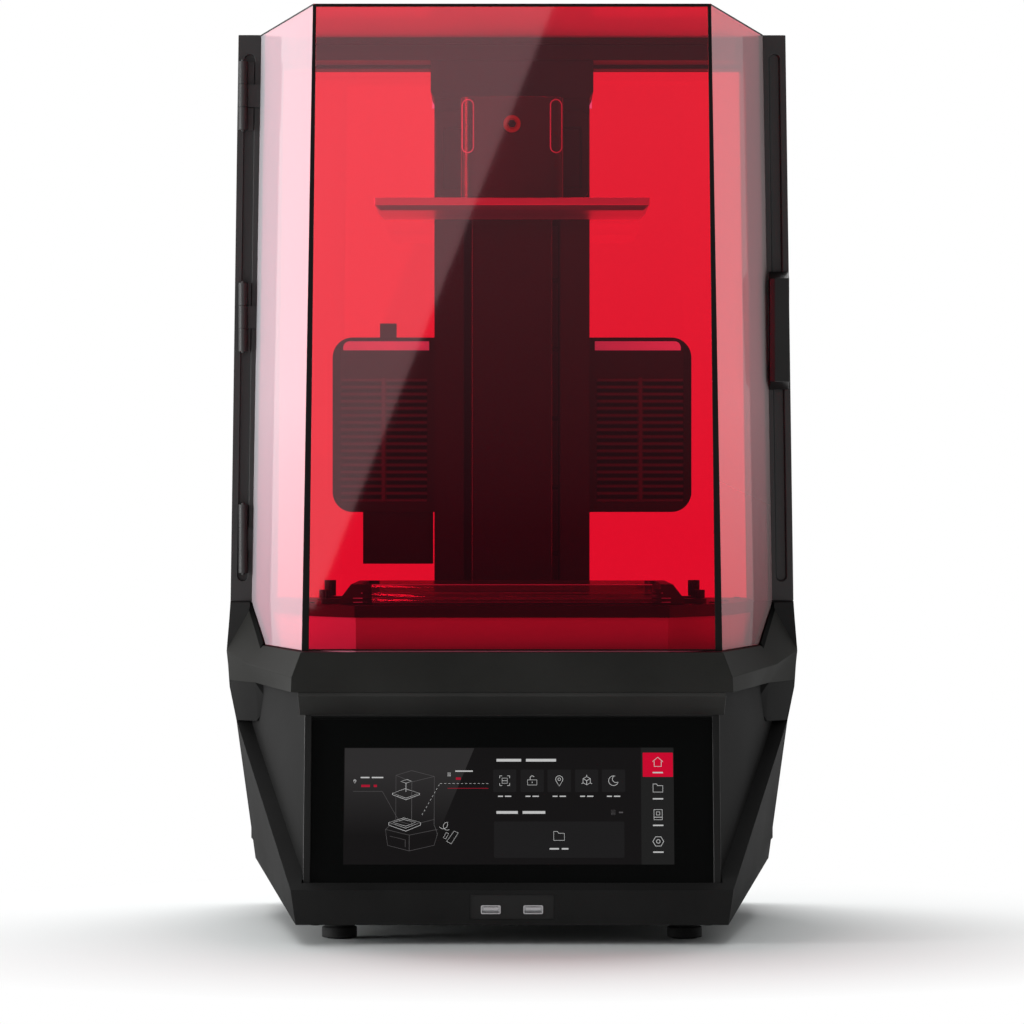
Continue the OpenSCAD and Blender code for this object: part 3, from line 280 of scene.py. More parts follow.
def grainedMaterial(name, look):
    material, tree, out = startMaterial(name)
    points = objectPoints(tree, look.get("stretch", (1, 1, 1)))
    shader = put(tree, "ShaderNodeBsdfPrincipled", {"Metallic": look.get("metallic", 0),
                                                    "Specular IOR Level": look.get("specular", 0.5)})
    blotch = put(tree, "ShaderNodeTexNoise", {"Scale": grained["blotchScale"], "Detail": grained["blotchDetail"]})
    grain = put(tree, "ShaderNodeTexNoise", {"Scale": look["grainScale"], "Detail": grained["grainDetail"],
                                             "Roughness": grained["grainRoughness"]})
    for texture in (blotch, grain):
        wire(tree, points, texture.inputs["Vector"])
    worn = [c * grained["wornGain"] for c in look["colour"]]
    wire(tree, colourBlend(tree, ramp(tree, blotch.outputs["Fac"], grained["wornSpread"]), look["colour"], worn),
         shader.inputs["Base Color"])
    # a finish's glow is painted light: the part shines though it is no lamp
    if "glow" in look:
        shader.inputs["Emission Color"].default_value = (*look["colour"], 1)
        shader.inputs["Emission Strength"].default_value = look["glow"]
    limits = (look["rough"] - grained["smoother"], look["rough"] + grained["rougher"])
    wire(tree, ramp(tree, blotch.outputs["Fac"], grained["roughSpread"], limits), shader.inputs["Roughness"])
    bump = put(tree, "ShaderNodeBump", {"Strength": look.get("relief", grained["relief"]),
                                        "Distance": look.get("depth", grained["depth"])})
    wire(tree, grain.outputs["Fac"], bump.inputs["Height"])
    wire(tree, bump.outputs["Normal"], shader.inputs["Normal"])
    wire(tree, shader.outputs["BSDF"], out.inputs["Surface"])
    return material


# dyed sheet: clear to sight and to lamps, with gloss and a painted sheen that grow towards the edge of view
tinted = {
    "shadowPaling": 0.5, "polish": 0.02, "paintedSheenRise": (0.21, 0.40), "paintedSheenFacing": (0.4, 0.75), "edgePower": 5,
    "paintedSheenColours": ((0.9, 0.9, 0.9), (0.95, 0.95, 0.95)),
}


def tintedSheet(name, look):
    material, tree, out = startMaterial(name)
    dye = put(tree, "ShaderNodeBsdfTransparent")
    path = put(tree, "ShaderNodeLightPath")  # lamplight comes through paler, as the sheet scatters some of it
    pale = [1 - tinted["shadowPaling"] * (1 - c) for c in look["dye"]]
    wire(tree, colourBlend(tree, path.outputs["Is Shadow Ray"], look["dye"], pale), dye.inputs["Color"])
    gloss = put(tree, "ShaderNodeBsdfGlossy", {"Color": (1, 1, 1, 1), "Roughness": tinted["polish"]})
    paintedSheen = put(tree, "ShaderNodeBsdfDiffuse")  # painted sheen: a pale matt layer that shows at grazing angles in place of the lamps' reflection, darker lower down
    low, high = look.get("paintedSheenColours", tinted["paintedSheenColours"])
    rise = ramp(tree, heightOf(tree, objectPoints(tree)), tinted["paintedSheenRise"])
    wire(tree, colourBlend(tree, rise, low, high), paintedSheen.inputs["Color"])
    haze = put(tree, "ShaderNodeBsdfDiffuse", {"Color": (*look["haze"], 1)})
    body = shaderBlend(tree, look["hazeShare"], dye, haze)
    # the facing value is the same on the far face, unlike a plain Fresnel
    facing = put(tree, "ShaderNodeLayerWeight", {"Blend": 0.5}).outputs["Facing"]
    skin = shaderBlend(tree, ramp(tree, facing, tinted["paintedSheenFacing"], (0, look["paintedSheen"])), gloss, paintedSheen)
    edge = blend(tree, "POWER", facing, tinted["edgePower"])
    both = shaderBlend(tree, ramp(tree, edge, (0, 1), (look["headOn"], look["grazing"])), body, skin)
    wire(tree, both.outputs[0], out.inputs["Surface"])
    return material


finishes = {
    "mouldedBlack": {"colour": (0.0158, 0.0158, 0.0157), "rough": 0.58, "specular": 0.012, "grainScale": 900,
                     "relief": 0.35, "depth": 0.0003},
    "rimBlack": {"colour": (0.0198, 0.0198, 0.0185), "rough": 0.58, "specular": 0.02, "grainScale": 900,
                 "relief": 0.35, "depth": 0.0003},
    "deckBlack": {"colour": (0.007, 0.0068, 0.0066), "rough": 0.45, "specular": 0.2, "grainScale": 1300,
                  "relief": 0.2},
    "fasciaBlack": {"colour": (0.033, 0.033, 0.0315), "rough": 0.55, "specular": 0.05, "grainScale": 900,
                    "relief": 0.3},
    "satinBlack": {"colour": (0.0085, 0.0085, 0.0083), "rough": 0.42, "specular": 0.3, "grainScale": 1300,
                   "relief": 0.2},
    "powderBlack": {"colour": (0.0085, 0.0085, 0.0087), "rough": 0.5, "specular": 0.35, "grainScale": 600,
                    "relief": 0.4, "depth": 0.0003},
    "anodisedBlack": {"colour": (0.010, 0.010, 0.0105), "rough": 0.36, "specular": 0.5, "metallic": 0.3,
                      "grainScale": 1500, "relief": 0.12},
    "columnBlack": {"colour": (0.023, 0.023, 0.0235), "rough": 0.48, "specular": 0.4, "grainScale": 650,
                    "relief": 0.4, "depth": 0.0003},
    "rubber": {"colour": (0.010, 0.010, 0.010), "rough": 0.7, "specular": 0.25, "grainScale": 700, "relief": 0.3},
    "machinedAlloy": {"colour": (0.80, 0.80, 0.81), "rough": 0.34, "metallic": 1, "grainScale": 500,
                      "stretch": (0.06, 1, 1), "relief": 0.15},
    "castAlloy": {"colour": (0.42, 0.42, 0.43), "rough": 0.45, "metallic": 1, "grainScale": 400, "relief": 0.25},
    "brightApron": {"colour": (0.52, 0.46, 0.50), "rough": 0.5, "specular": 0.1, "grainScale": 500,
                    "stretch": (0.05, 0.05, 1), "relief": 0.12},
    "louvreLip": {"colour": (0.060, 0.054, 0.060), "rough": 0.4, "grainScale": 900, "relief": 0.15},
    # the pale strip's glow is painted light that makes it brighter than its colour
    "paleStripPaintedGlow": {"colour": (0.72, 0.72, 0.72), "rough": 0.45, "glow": 0.3, "grainScale": 700, "relief": 0.1},
    # pale bars and loops painted along edges as highlights
    "paintedHighlightEdge": {"colour": (0.62, 0.60, 0.62), "rough": 0.3, "grainScale": 900, "relief": 0.1},
    "seamBlack": {"colour": (0.0055, 0.005, 0.005), "rough": 0.55, "specular": 0.1, "grainScale": 900, "relief": 0.2},
    "sealBlack": {"colour": (0.0015, 0.0015, 0.0015), "rough": 0.7, "specular": 0.02, "grainScale": 900,
                  "relief": 0.2},
    "foamBlack": {"colour": (0.006, 0.006, 0.006), "rough": 0.9, "specular": 0.02, "grainScale": 1400,
                  "relief": 0.9, "depth": 0.0006},
    "screwBlack": {"colour": (0.02, 0.02, 0.021), "rough": 0.32, "metallic": 0.6, "grainScale": 1200, "relief": 0.1},
    "bracketBlack": {"colour": (0.0075, 0.0075, 0.008), "rough": 0.24, "specular": 0.7, "grainScale": 1500,
                     "relief": 0.1},
    "groundSteel": {"colour": (0.42, 0.42, 0.43), "rough": 0.24, "metallic": 1, "grainScale": 800,
                    "stretch": (1, 1, 0.06), "relief": 0.12},
    "redAnodised": {"colour": (0.42, 0.012, 0.03), "rough": 0.3, "metallic": 0.8, "grainScale": 900, "relief": 0.1},
    "boardGreen": {"colour": (0.012, 0.07, 0.035), "rough": 0.4, "grainScale": 300, "relief": 0.3},
    "filterGrey": {"colour": (0.05, 0.05, 0.052), "rough": 0.6, "grainScale": 500, "relief": 0.3},
    "fanBlack": {"colour": (0.012, 0.012, 0.012), "rough": 0.4, "grainScale": 900, "relief": 0.15},
    "foldedSheet": {"colour": (0.38, 0.38, 0.38), "rough": 0.4, "metallic": 0.9, "grainScale": 300, "relief": 0.15},
}
redDye = {"dye": (0.967, 0.24, 0.39), "haze": (0.5, 0.02, 0.12), "hazeShare": 0.012, "headOn": 0.037}
# the right sheet is a shaded copy: less painted sheen and less gloss at grazing angles, as the light comes from the
# left
sheets = {
    "redSheetBrightSheen": {**redDye, "grazing": 1.0, "paintedSheen": 0.8, "paintedSheenColours": ((0.70, 0.60, 0.66), (0.90, 0.92, 0.97))},
    "redSheetRightDimSheen": {**redDye, "grazing": 0.62, "paintedSheen": 0.7,
                      "paintedSheenColours": ((0.55, 0.42, 0.42), (1.0, 0.95, 0.95))},
    "clearFilm": {"dye": (0.93, 0.94, 0.95), "haze": (0.8, 0.8, 0.82), "hazeShare": 0.05, "headOn": 0.04,
                  "grazing": 0.6, "paintedSheen": 0.2},
    "smokyClear": {"dye": (0.80, 0.66, 0.70), "haze": (0.10, 0.06, 0.07), "hazeShare": 0.3, "headOn": 0.05,
                   "grazing": 0.6, "paintedSheen": 0.1},
    "clearGlass": {"dye": (0.93, 0.97, 0.96), "haze": (0.8, 0.8, 0.82), "hazeShare": 0.01, "headOn": 0.04,
                   "grazing": 0.8, "paintedSheen": 0},
}
materials = {name: grainedMaterial(name, look) for name, look in finishes.items()}
materials.update({name: tintedSheet(name, look) for name, look in sheets.items()})

# the screen's cover glass, dark behind and faintly smeared by fingers
coverLook = {"colour": (0.0028, 0.0031, 0.0030, 1), "specular": 0.3, "smearScale": 22, "smearSpread": (0.45, 0.75),
             "rough": (0.03, 0.075)}


def coverGlass(look):
    material, tree, out = startMaterial("coverGlass")
    shader = put(tree, "ShaderNodeBsdfPrincipled", {"Base Color": look["colour"], "IOR": 1.5,
                                                    "Specular IOR Level": look["specular"]})
    smear = put(tree, "ShaderNodeTexNoise", {"Scale": look["smearScale"], "Detail": 5, "Distortion": 0.6})
    wire(tree, objectPoints(tree), smear.inputs["Vector"])
    wire(tree, ramp(tree, smear.outputs["Fac"], look["smearSpread"], look["rough"]), shader.inputs["Roughness"])
    wire(tree, shader.outputs[0], out.inputs["Surface"])
    return material


materials["coverGlass"] = coverGlass(coverLook)

wears = {
    "mouldedBlack": ["base_shell"],
    "rimBlack": ["base_rim"],
    "fasciaBlack": ["front_fascia"],
    "satinBlack": ["screen_bezel", "usb_panel", "bottom_plate", "rear_panel", "filter_housing",
                   "filter_grille", "filter_duct", "heater_housing", "heater_grille", "door_handle",
                   "cooling_fan_frame", "power_inlet", "power_switch", "vat_knob_front_left",
                   "vat_knob_front_right", "vat_knob_rear_left", "vat_knob_rear_right", "display_panel"],
    "columnBlack": ["left_column", "right_column", "hinge_brackets", "hinge_pins", "door_hinge_leaves"],
    "powderBlack": ["top_beam", "tower_column", "tower_cap", "door_rails", "z_motor", "projector"],
    "deckBlack": ["deck_plate"],
    "anodisedBlack": ["platform_arm", "vat_frame"],
    "bracketBlack": ["platform_bracket"],
    "coverGlass": ["screen_glass"],
    "redSheetBrightSheen": ["hood_front", "hood_left", "hood_top", "rear_windows"],
    "redSheetRightDimSheen": ["hood_right"],
    "brightApron": ["front_apron"],
    "machinedAlloy": ["build_platform"],
    "castAlloy": ["carriage_plate", "screw_bearings", "heater_core"],
    "groundSteel": ["linear_rails", "lead_screw", "data_ports"],
    "foldedSheet": ["power_supply"],
    "boardGreen": ["mainboard"],
    "fanBlack": ["cooling_fan_rotor", "filter_fan_rotor", "heater_fan_rotor"],
    "filterGrey": ["filter_cartridge"],
    "redAnodised": ["arm_lock_knob"],
    "clearGlass": ["projection_window"],
    "clearFilm": ["vat_film"],
    "rubber": ["feet"],
}


def dress(piece, finish):
    piece.data.materials.clear()
    piece.data.materials.append(materials[finish])


for finish, names in wears.items():
    for name in names:
        dress(nodes[name], finish)
print("finishes:", len(materials))


# name, finish and body, once the shape is done and its place is in its mesh
def settle(piece, name, body, finish):
    freeze(piece)
    piece.name = name
    piece.data.name = name
    dress(piece, finish)
    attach(piece, body)


# a bare solid's edges are sharp as a knife, so a merged copy with a small bevel stands for it
cleanUp = {"merge": 2e-6, "flat": math.radians(0.4)}


def softEdges(node, width):
    takeUp(nodes[node])
    bpy.ops.object.duplicate()
    piece = bpy.context.object
    body = piece["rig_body"]
    piece.parent = None
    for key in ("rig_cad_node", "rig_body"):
        del piece[key]
    piece.name = node + ".soft"
    bpy.ops.mesh.customdata_custom_splitnormals_clear()
    pickAll(piece)
    bpy.ops.mesh.remove_doubles(threshold=cleanUp["merge"])
    bpy.ops.mesh.dissolve_limited(angle_limit=cleanUp["flat"])
    leaveEdit()
    bpy.ops.object.shade_smooth()
    roundOver(piece, width)
    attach(piece, body)
    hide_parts(node)


softened = {
    "shell_black": {"base_shell": 0.0012, "base_rim": 0.0012},
    "trim_black": {"front_fascia": 0.0005, "screen_bezel": 0.0006, "door_handle": 0.0015, "filter_duct": 0.0008},
    "frame_black": {"left_column": 0.0012, "right_column": 0.0012, "top_beam": 0.001, "tower_cap": 0.0006},
    "plate_black": {"platform_arm": 0.0012, "platform_bracket": 0.001, "deck_plate": 0.0008},
    "alloy": {"build_platform": 0.0006},
    "vat_clear": {"vat_frame": 0.0008},
}
for slot, widths in softened.items():
    for node, width in widths.items():
        softEdges(node, width)
print("softened edges:", sum(len(widths) for widths in softened.values()))


# the lit screen: soft tiles and fine line icons, with plain bars in place of words
screenPlane = {"origin": (0, -0.185, 0.042), "lean": 14.6, "front": 0.004}
# the beam colour is a painted glare reflection on the screen
screenLooks = {
    "fieldDark": (0.0068, 0.0061, 0.0064), "tileDark": (0.0115, 0.0110, 0.0115), "barDark": (0.0135, 0.0135, 0.0135),
    "tabRed": (0.56, 0.002, 0.026), "inkWhite": (0.50, 0.50, 0.50), "inkGrey": (0.075, 0.071, 0.073),
    "inkRed": (0.36, 0.004, 0.025), "beam": (0.026, 0.0245, 0.025),
}
litLook = {"colour": (0.002, 0.002, 0.002, 1), "rough": 0.09, "specular": 0.12, "cellScale": 900, "cellDepth": 0.1,
           "paintedGlareFade": (0.125, 0.078)}


def startLit(name):
    material, tree, out = startMaterial(name)
    shader = put(tree, "ShaderNodeBsdfPrincipled", {
        "Base Color": litLook["colour"], "Roughness": litLook["rough"], "Specular IOR Level": litLook["specular"],
        "Emission Strength": 1.0})
    wire(tree, shader.outputs[0], out.inputs["Surface"])
    return material, tree, shader.inputs["Emission Color"]


# painted reflection: a pale band of glare across the picture, fading towards its foot
def fadingMaterial(name, high, low):
    material, tree, glow = startLit(name)
    fall = ramp(tree, heightOf(tree, objectPoints(tree)), litLook["paintedGlareFade"])
    wire(tree, colourBlend(tree, fall, high, low), glow)
    return material


def litMaterial(name, colour):
    material, tree, glow = startLit(name)
    cells = put(tree, "ShaderNodeTexNoise", {"Scale": litLook["cellScale"], "Detail": 1})  # pixels, barely seen
    wire(tree, objectPoints(tree), cells.inputs["Vector"])
    dim, bright = [[c * (1 + way * litLook["cellDepth"]) for c in colour] for way in (-1, 1)]
    wire(tree, colourBlend(tree, cells.outputs["Fac"], dim, bright), glow)
    return material


for name, colour in screenLooks.items():
    materials[name] = litMaterial(name, colour)
materials["screenPaintedGlare"] = fadingMaterial("screenPaintedGlare", screenLooks["beam"], screenLooks["fieldDark"])

# millimetres, but for the share by which lines are flattened and the level in metres
screenMesh = {"tileDeep": 0.1, "inkLift": 0.16, "inkFlat": 0.22, "level": 1e-6}


# a tile of the picture, its corners rounded, just proud of the glass
def screenTile(box, lift, corner):
    left, right, low, high = [v / 1000 for v in box]
    deep = screenMesh["tileDeep"] / 1000
    middle = ((left + right) / 2, deep / 2 - lift / 1000, (low + high) / 2)
    piece = startBlock((right - left, deep, high - low), middle)

    def runsBack(edge):
        start, end = [piece.data.vertices[k].co for k in edge.vertices]
        return all(abs(start[k] - end[k]) < screenMesh["level"] for k in (0, 2))

    pick(piece, "EDGE", runsBack)
    bpy.ops.mesh.bevel(offset=corner / 1000, segments=4)
    leaveEdit()
    return piece


# open or closed lines in the plane of the picture, as one flattened mesh
def screenInk(lines, lift):
    curve = bpy.data.curves.new("ink", "CURVE")
    curve.dimensions = "3D"
    curve.bevel_depth = 1
    curve.bevel_resolution = 1
    curve.use_fill_caps = True
    for width, closed, points in lines:
        spline = curve.splines.new("POLY")
        spline.points.add(len(points) - 1)
        spline.use_cyclic_u = closed
        for point, (u, v) in zip(spline.points, points):
            point.co = (u / 1000, 0, v / 1000, 1)
            point.radius = width / 2000
    piece = bpy.data.objects.new("ink", curve)
    bpy.context.scene.collection.objects.link(piece)
    takeUp(piece)
    bpy.ops.object.convert(target="MESH")
    piece = bpy.context.object
    piece.scale = (1, screenMesh["inkFlat"], 1)
    bpy.ops.object.transform_apply(location=False, rotation=False, scale=True)
    piece.location = (0, -lift / 1000, 0)
    return piece


def ontoScreen(piece, name, finish):
    freeze(piece)
    look = screenPlane
    piece.matrix_world = (Matrix.Translation(look["origin"]) @ Matrix.Rotation(math.radians(-look["lean"]), 4, "X")
                          @ Matrix.Translation((0, look["front"], 0)))
    settle(piece, "screen." + name, "chassis", finish)


def arc(centre, radius, start, end, steps):
    angles = [math.radians(start + (end - start) * k / steps) for k in range(steps + 1)]
    return [(centre[0] + radius * math.cos(a), centre[1] + radius * math.sin(a)) for a in angles]


# icons as lines in a square from -1 to 1: closed or not, then the points
icons = {
    "house": [(False, [(-0.9, 0.05), (0, 0.85), (0.9, 0.05)]),
              (False, [(-0.62, 0.1), (-0.62, -0.8), (0.62, -0.8), (0.62, 0.1)])],
    "folder": [(True, [(-0.85, -0.7), (-0.85, 0.75), (-0.25, 0.75), (-0.05, 0.45), (0.85, 0.45), (0.85, -0.7)])],
    "machine": [(True, [(-0.72, -0.9), (-0.72, 0.9), (0.72, 0.9), (0.72, -0.9)]),
                (True, [(-0.3, -0.05), (-0.3, 0.5), (0.3, 0.5), (0.3, -0.05)]),
                (False, [(-0.72, -0.45), (0.72, -0.45)])],
    "nut": [(True, arc((0, 0), 0.95, 0, 300, 5)), (True, arc((0, 0), 0.33, 0, 324, 9))],
    "frame": [(True, [(-0.45, -0.45), (0.45, -0.45), (0.45, 0.45), (-0.45, 0.45)]),
              (False, [(-0.85, 0.45), (-0.85, 0.85), (-0.45, 0.85)]),
              (False, [(0.85, 0.45), (0.85, 0.85), (0.45, 0.85)]),
              (False, [(-0.85, -0.45), (-0.85, -0.85), (-0.45, -0.85)]),
              (False, [(0.85, -0.45), (0.85, -0.85), (0.45, -0.85)]), (False, [(-0.45, 0), (0.45, 0)])],
    "lock": [(True, [(-0.8, -0.75), (-0.8, 0.15), (0.8, 0.15), (0.8, -0.75)]),
             (False, [(-0.35, 0.15), (-0.35, 0.5)] + arc((0, 0.5), 0.35, 180, 25, 6)),
             (False, [(0, -0.4), (0, -0.15)])],
    "pin": [(True, [(0, -0.95)] + arc((0, 0.25), 0.62, 205, -25, 10)), (True, arc((0, 0.25), 0.24, 0, 320, 8))],
    "cube": [(True, arc((0, 0), 0.72, 30, 330, 5)), (False, [(0, 0), (0, -0.72)]), (False, [(0, 0), (0.62, 0.36)]),
             (False, [(0, 0), (-0.62, 0.36)]), (False, [(0, 0.72), (0, 1)]), (False, [(-0.62, -0.36), (-0.9, -0.55)]),
             (False, [(0.62, -0.36), (0.9, -0.55)])],
    "moon": [(True, arc((0, 0), 0.85, 70, 340, 12) + arc((0.42, 0.3), 0.62, 295, 115, 8))],
}
# the picture is laid out in millimetres; a tile's box is its left, right, low and high edge
tileRow = {"low": 70.8, "high": 87.7, "spans": [(-13.9, 3.1), (6.3, 23.5), (26.2, 43.5), (46.6, 63.6), (66.3, 83.5)]}
tiles = {
    "field": {"box": (-124.0, 119.3, 16.6, 104.2), "lift": 0.05, "corner": 0.3, "finish": "fieldDark"},
    # the beam tile is the painted glare reflection, drawn into the picture
    "beam": {"box": (-123.5, -28.0, 30.0, 103.8), "lift": 0.09, "corner": 0.3, "finish": "screenPaintedGlare",
             "foot": (-50.0, 50.0), "footShift": -30.0},
    "sidebar": {"box": (95.2, 119.3, 16.6, 104.2), "lift": 0.10, "corner": 0.3, "finish": "barDark"},
    "tab": {"box": (96.5, 118.8, 82.2, 100.4), "lift": 0.15, "corner": 0.4, "finish": "tabRed"},
    "tiles": {"lift": 0.10, "corner": 0.8, "finish": "tileDark", "wideBox": (-13.2, 82.7, 21.6, 48.7),
              "wideCorner": 1.0},
}


def addTiles():
    for name in ("field", "beam", "sidebar", "tab"):
        look = tiles[name]
        piece = screenTile(look["box"], look["lift"], look["corner"])
        if name == "beam":
            right, low = [v / 1000 for v in look["foot"]]
            pick(piece, "VERT", lambda vert: vert.co.x > right and vert.co.z < low)
            bpy.ops.transform.translate(value=(look["footShift"] / 1000, 0, 0))
            leaveEdit()
        ontoScreen(piece, name, look["finish"])
    look = tiles["tiles"]
    parts = [screenTile((left, right, tileRow["low"], tileRow["high"]), look["lift"], look["corner"])
             for left, right in tileRow["spans"]]
    parts.append(screenTile(look["wideBox"], look["lift"], look["wideCorner"]))
    ontoScreen(joinAll(parts), "tiles", look["finish"])


# icons with a label each: the label starts at a shift from the icon's centre
rowIcons = {"names": ["frame", "lock", "pin", "cube", "moon"], "high": 79.3, "size": 4.3, "line": 0.42,
            "shift": (-5.4, -11.7), "words": (4.6, 5.6), "tall": 1.0}
tabIcons = {"heights": {"house": 93.4, "folder": 73.7, "machine": 53.8, "nut": 33.8}, "middle": 107.6, "size": 4.2,
            "line": 0.5, "shift": (-4.4, -8.0), "words": (8.8,), "tall": 1.15}
# loose icons by name, centre, size and line width, and bars for words by start, lengths, height and gap
looseIcons = {
    "inkWhite": [("folder", (34.6, 37.8), 4.6, 0.42), ("pin", (-116.0, 78.9), 1.5, 0.3),
                 ("machine", (-46.4, 84.0), 1.4, 0.3)],
    "inkGrey": [("machine", (74.5, 55.5), 1.9, 0.3)],
}
looseWords = {
    "inkWhite": [((-12.6, 94.7), (20.5, 24.5), 2.3, 0.55), ((-12.6, 55.5), (18.0, 19.0), 2.3, 0.55),
                 ((27.0, 28.3), (8.2, 6.2), 1.3, 0.55), ((-112.2, 81.7), (7.6, 9.6), 1.1, 0.55),
                 ((-42.4, 86.5), (14.0,), 1.1, 0.55)],
    "inkGrey": [((78.2, 55.5), (4.2,), 1.2, 0.55)],
    "inkRed": [((-112.2, 75.4), (8.4, 4.4), 2.0, 0.4), ((-42.4, 80.9), (5.6,), 2.0, 0.55)],
}
# the machine, its platform, its vat and a bottle in thin lines, and two callouts: width, closed or not, points
drawing = {
    "inkGrey": [
        (0.35, True, [(-85.6, 83.4), (-74.0, 86.9), (-57.3, 82.5), (-57.3, 46.1), (-54.8, 39.4), (-57.3, 30.9),
                      (-75.6, 26.7), (-91.5, 30.9), (-93.1, 42.8), (-85.6, 49.6)]),
        (0.35, False, [(-85.6, 83.4), (-73.9, 78.4), (-57.3, 82.5)]),
        (0.35, False, [(-73.9, 78.4), (-73.9, 46.1)]),
        (0.35, False, [(-85.6, 49.6), (-73.9, 46.1), (-57.3, 50.2)]),
        (0.35, False, [(-93.1, 42.8), (-75.6, 38.5), (-54.8, 42.8)]),
        (0.35, False, [(-75.6, 38.5), (-75.6, 26.7)]),
        (0.3, False, [(-90.0, 37.8), (-78.5, 35.0)]), (0.3, False, [(-78.5, 35.0), (-78.5, 29.6)]),
        (0.3, False, [(-117.2, 71.3), (-95.6, 71.3)]), (0.3, False, [(-95.6, 71.3), (-84.0, 50.5)]),
    ],
    "inkWhite": [
        (0.34, True, [(-88.1, 69.9), (-79.0, 73.3), (-68.2, 69.9), (-78.2, 66.2)]),
        (0.34, False, [(-88.1, 69.9), (-88.1, 68.8), (-78.2, 65.0), (-68.2, 68.8), (-68.2, 69.9)]),
        (0.34, True, [(-82.0, 78.8), (-77.4, 80.2), (-73.9, 78.9), (-78.2, 77.4)]),
        (0.34, False, [(-78.2, 77.4), (-78.2, 71.0)]),
        (0.34, True, [(-90.7, 48.0), (-79.8, 51.4), (-67.3, 48.0), (-78.2, 43.7)]),
        (0.34, True, [(-87.5, 48.0), (-79.8, 50.2), (-70.8, 48.0), (-78.2, 45.2)]),
        (0.34, False, [(-90.7, 48.0), (-90.7, 46.0), (-78.2, 41.5), (-67.3, 46.0), (-67.3, 48.0)]),
        (0.34, True, [(-48.0, 33.8), (-42.6, 41.6), (-39.6, 40.2), (-44.6, 32.0)]),
        (0.34, True, [(-50.6, 36.6), (-48.4, 40.4), (-46.6, 39.6), (-48.6, 35.8)]),
        (0.34, False, arc((-47.6, 45.2), 3.0, 300, 80, 8) + arc((-50.6, 46.4), 3.2, 20, -150, 8)),
    ],
    "inkRed": [(0.35, False, [(-47.4, 73.6), (-17.4, 73.6)])],
}
# rows of short dashes: how many, first dash from and to, step to the next
dashes = {"line": 0.28, "rows": [(12, (-53.2, 77.2), (-51.6, 77.2), (3.1, 0)),
                                 (9, (-53.6, 76.5), (-54.3, 75.2), (-1.5, -2.7))]}


def iconLines(name, place, size, line):
    return [(line, closed, [(place[0] + size * u, place[1] + size * v) for u, v in points])
            for closed, points in icons[name]]


def wordLines(place, lengths, tall, gap=0.55):
    u, v = place
    lines = []
    for length in lengths:
        lines.append((tall, False, [(u + tall / 2, v), (u + length - tall / 2, v)]))
        u += length + gap * tall
    return lines


def labelled(look, name, u, v):
    label = (u + look["shift"][0], v + look["shift"][1])
    return iconLines(name, (u, v), look["size"], look["line"]) + wordLines(label, look["words"], look["tall"])


def addInk():
    inks = {finish: list(lines) for finish, lines in drawing.items()}
    for finish, rows in looseIcons.items():
        for row in rows:
            inks[finish] += iconLines(*row)
    for finish, rows in looseWords.items():
        for row in rows:
            inks[finish] += wordLines(*row)
    for name, (left, right) in zip(rowIcons["names"], tileRow["spans"]):
        inks["inkWhite"] += labelled(rowIcons, name, (left + right) / 2, rowIcons["high"])
    for name, high in tabIcons["heights"].items():
        inks["inkWhite"] += labelled(tabIcons, name, tabIcons["middle"], high)
    for count, start, end, step in dashes["rows"]:
        inks["inkWhite"] += [(dashes["line"], False, [(u + k * step[0], v + k * step[1]) for u, v in (start, end)])
                             for k in range(count)]
    for name, finish in (("white", "inkWhite"), ("grey", "inkGrey"), ("red", "inkRed")):
        ontoScreen(screenInk(inks[finish], screenMesh["inkLift"]), "ink." + name, finish)


addTiles()
addInk()
print("screen picture ready")

# black beads along the joints of the hood's sheets, all on the door
hoodSeams = {
    "facing": (0, -1, 0.027),
    "corner": {"low": (0.15205, -0.1739, 0.2136), "high": (0.14565, -0.1609, 0.6906), "wide": 0.0052,
               "narrow": 0.0025, "deep": 0.0028, "round": 0.0004},
    "frontTop": {"half": 0.1455, "place": (-0.1619, 0.6898), "high": 0.0022, "deep": 0.0012},
    "sideTop": {"front": (0.1467, -0.1612, 0.69035), "back": (0.19665, 0.0735, 0.69035), "wide": 0.0012,
                "deep": 0.0006, "facing": (0.978, -0.208, 0.017)},
    "foot": {"half": 0.1500, "place": (-0.1750, 0.2146), "high": 0.0012, "deep": 0.0008},
}


def addHoodSeams():
    parts = []
    look = hoodSeams["corner"]
    for side in (-1, 1):
        parts.append(barAlong(onSide(side, look["low"]), onSide(side, look["high"]), hoodSeams["facing"],
                              look["wide"], look["deep"], look["round"], look["narrow"]))
    for key in ("frontTop", "foot"):
        look = hoodSeams[key]
        ends = [(side * look["half"], *look["place"]) for side in (-1, 1)]
        parts.append(barAlong(*ends, hoodSeams["facing"], look["high"], look["deep"]))
    look = hoodSeams["sideTop"]
    for side in (-1, 1):
        parts.append(barAlong(*[onSide(side, look[key]) for key in ("front", "back", "facing")],
                              look["wide"], look["deep"]))
    settle(joinAll(parts), "hood.seams", "door", "seamBlack")


addHoodSeams()

# corner covers on the shoulders of the base, and the soft seals beside the hood
shoulders = {
    "block": {"x": (-0.2246, -0.2054), "y": (0.0685, 0.0776), "z": (0.2078, 0.2452), "round": 0.0007},
    "outer": {"through": (-0.2243, 0.077, 0.2078), "normal": (-1, 0, 0.083)},
    "front": {"through": (-0.2244, 0.0768, 0.208), "normal": (-0.44, -0.897, 0.035)},
    "seal": {"low": (-0.1923, 0.0043, 0.2124), "high": (-0.2054, 0.0736, 0.2431), "wide": 0.0050, "deep": 0.0018,
             "round": 0.0004, "facing": (-0.84, -0.34, 0.41)},
}


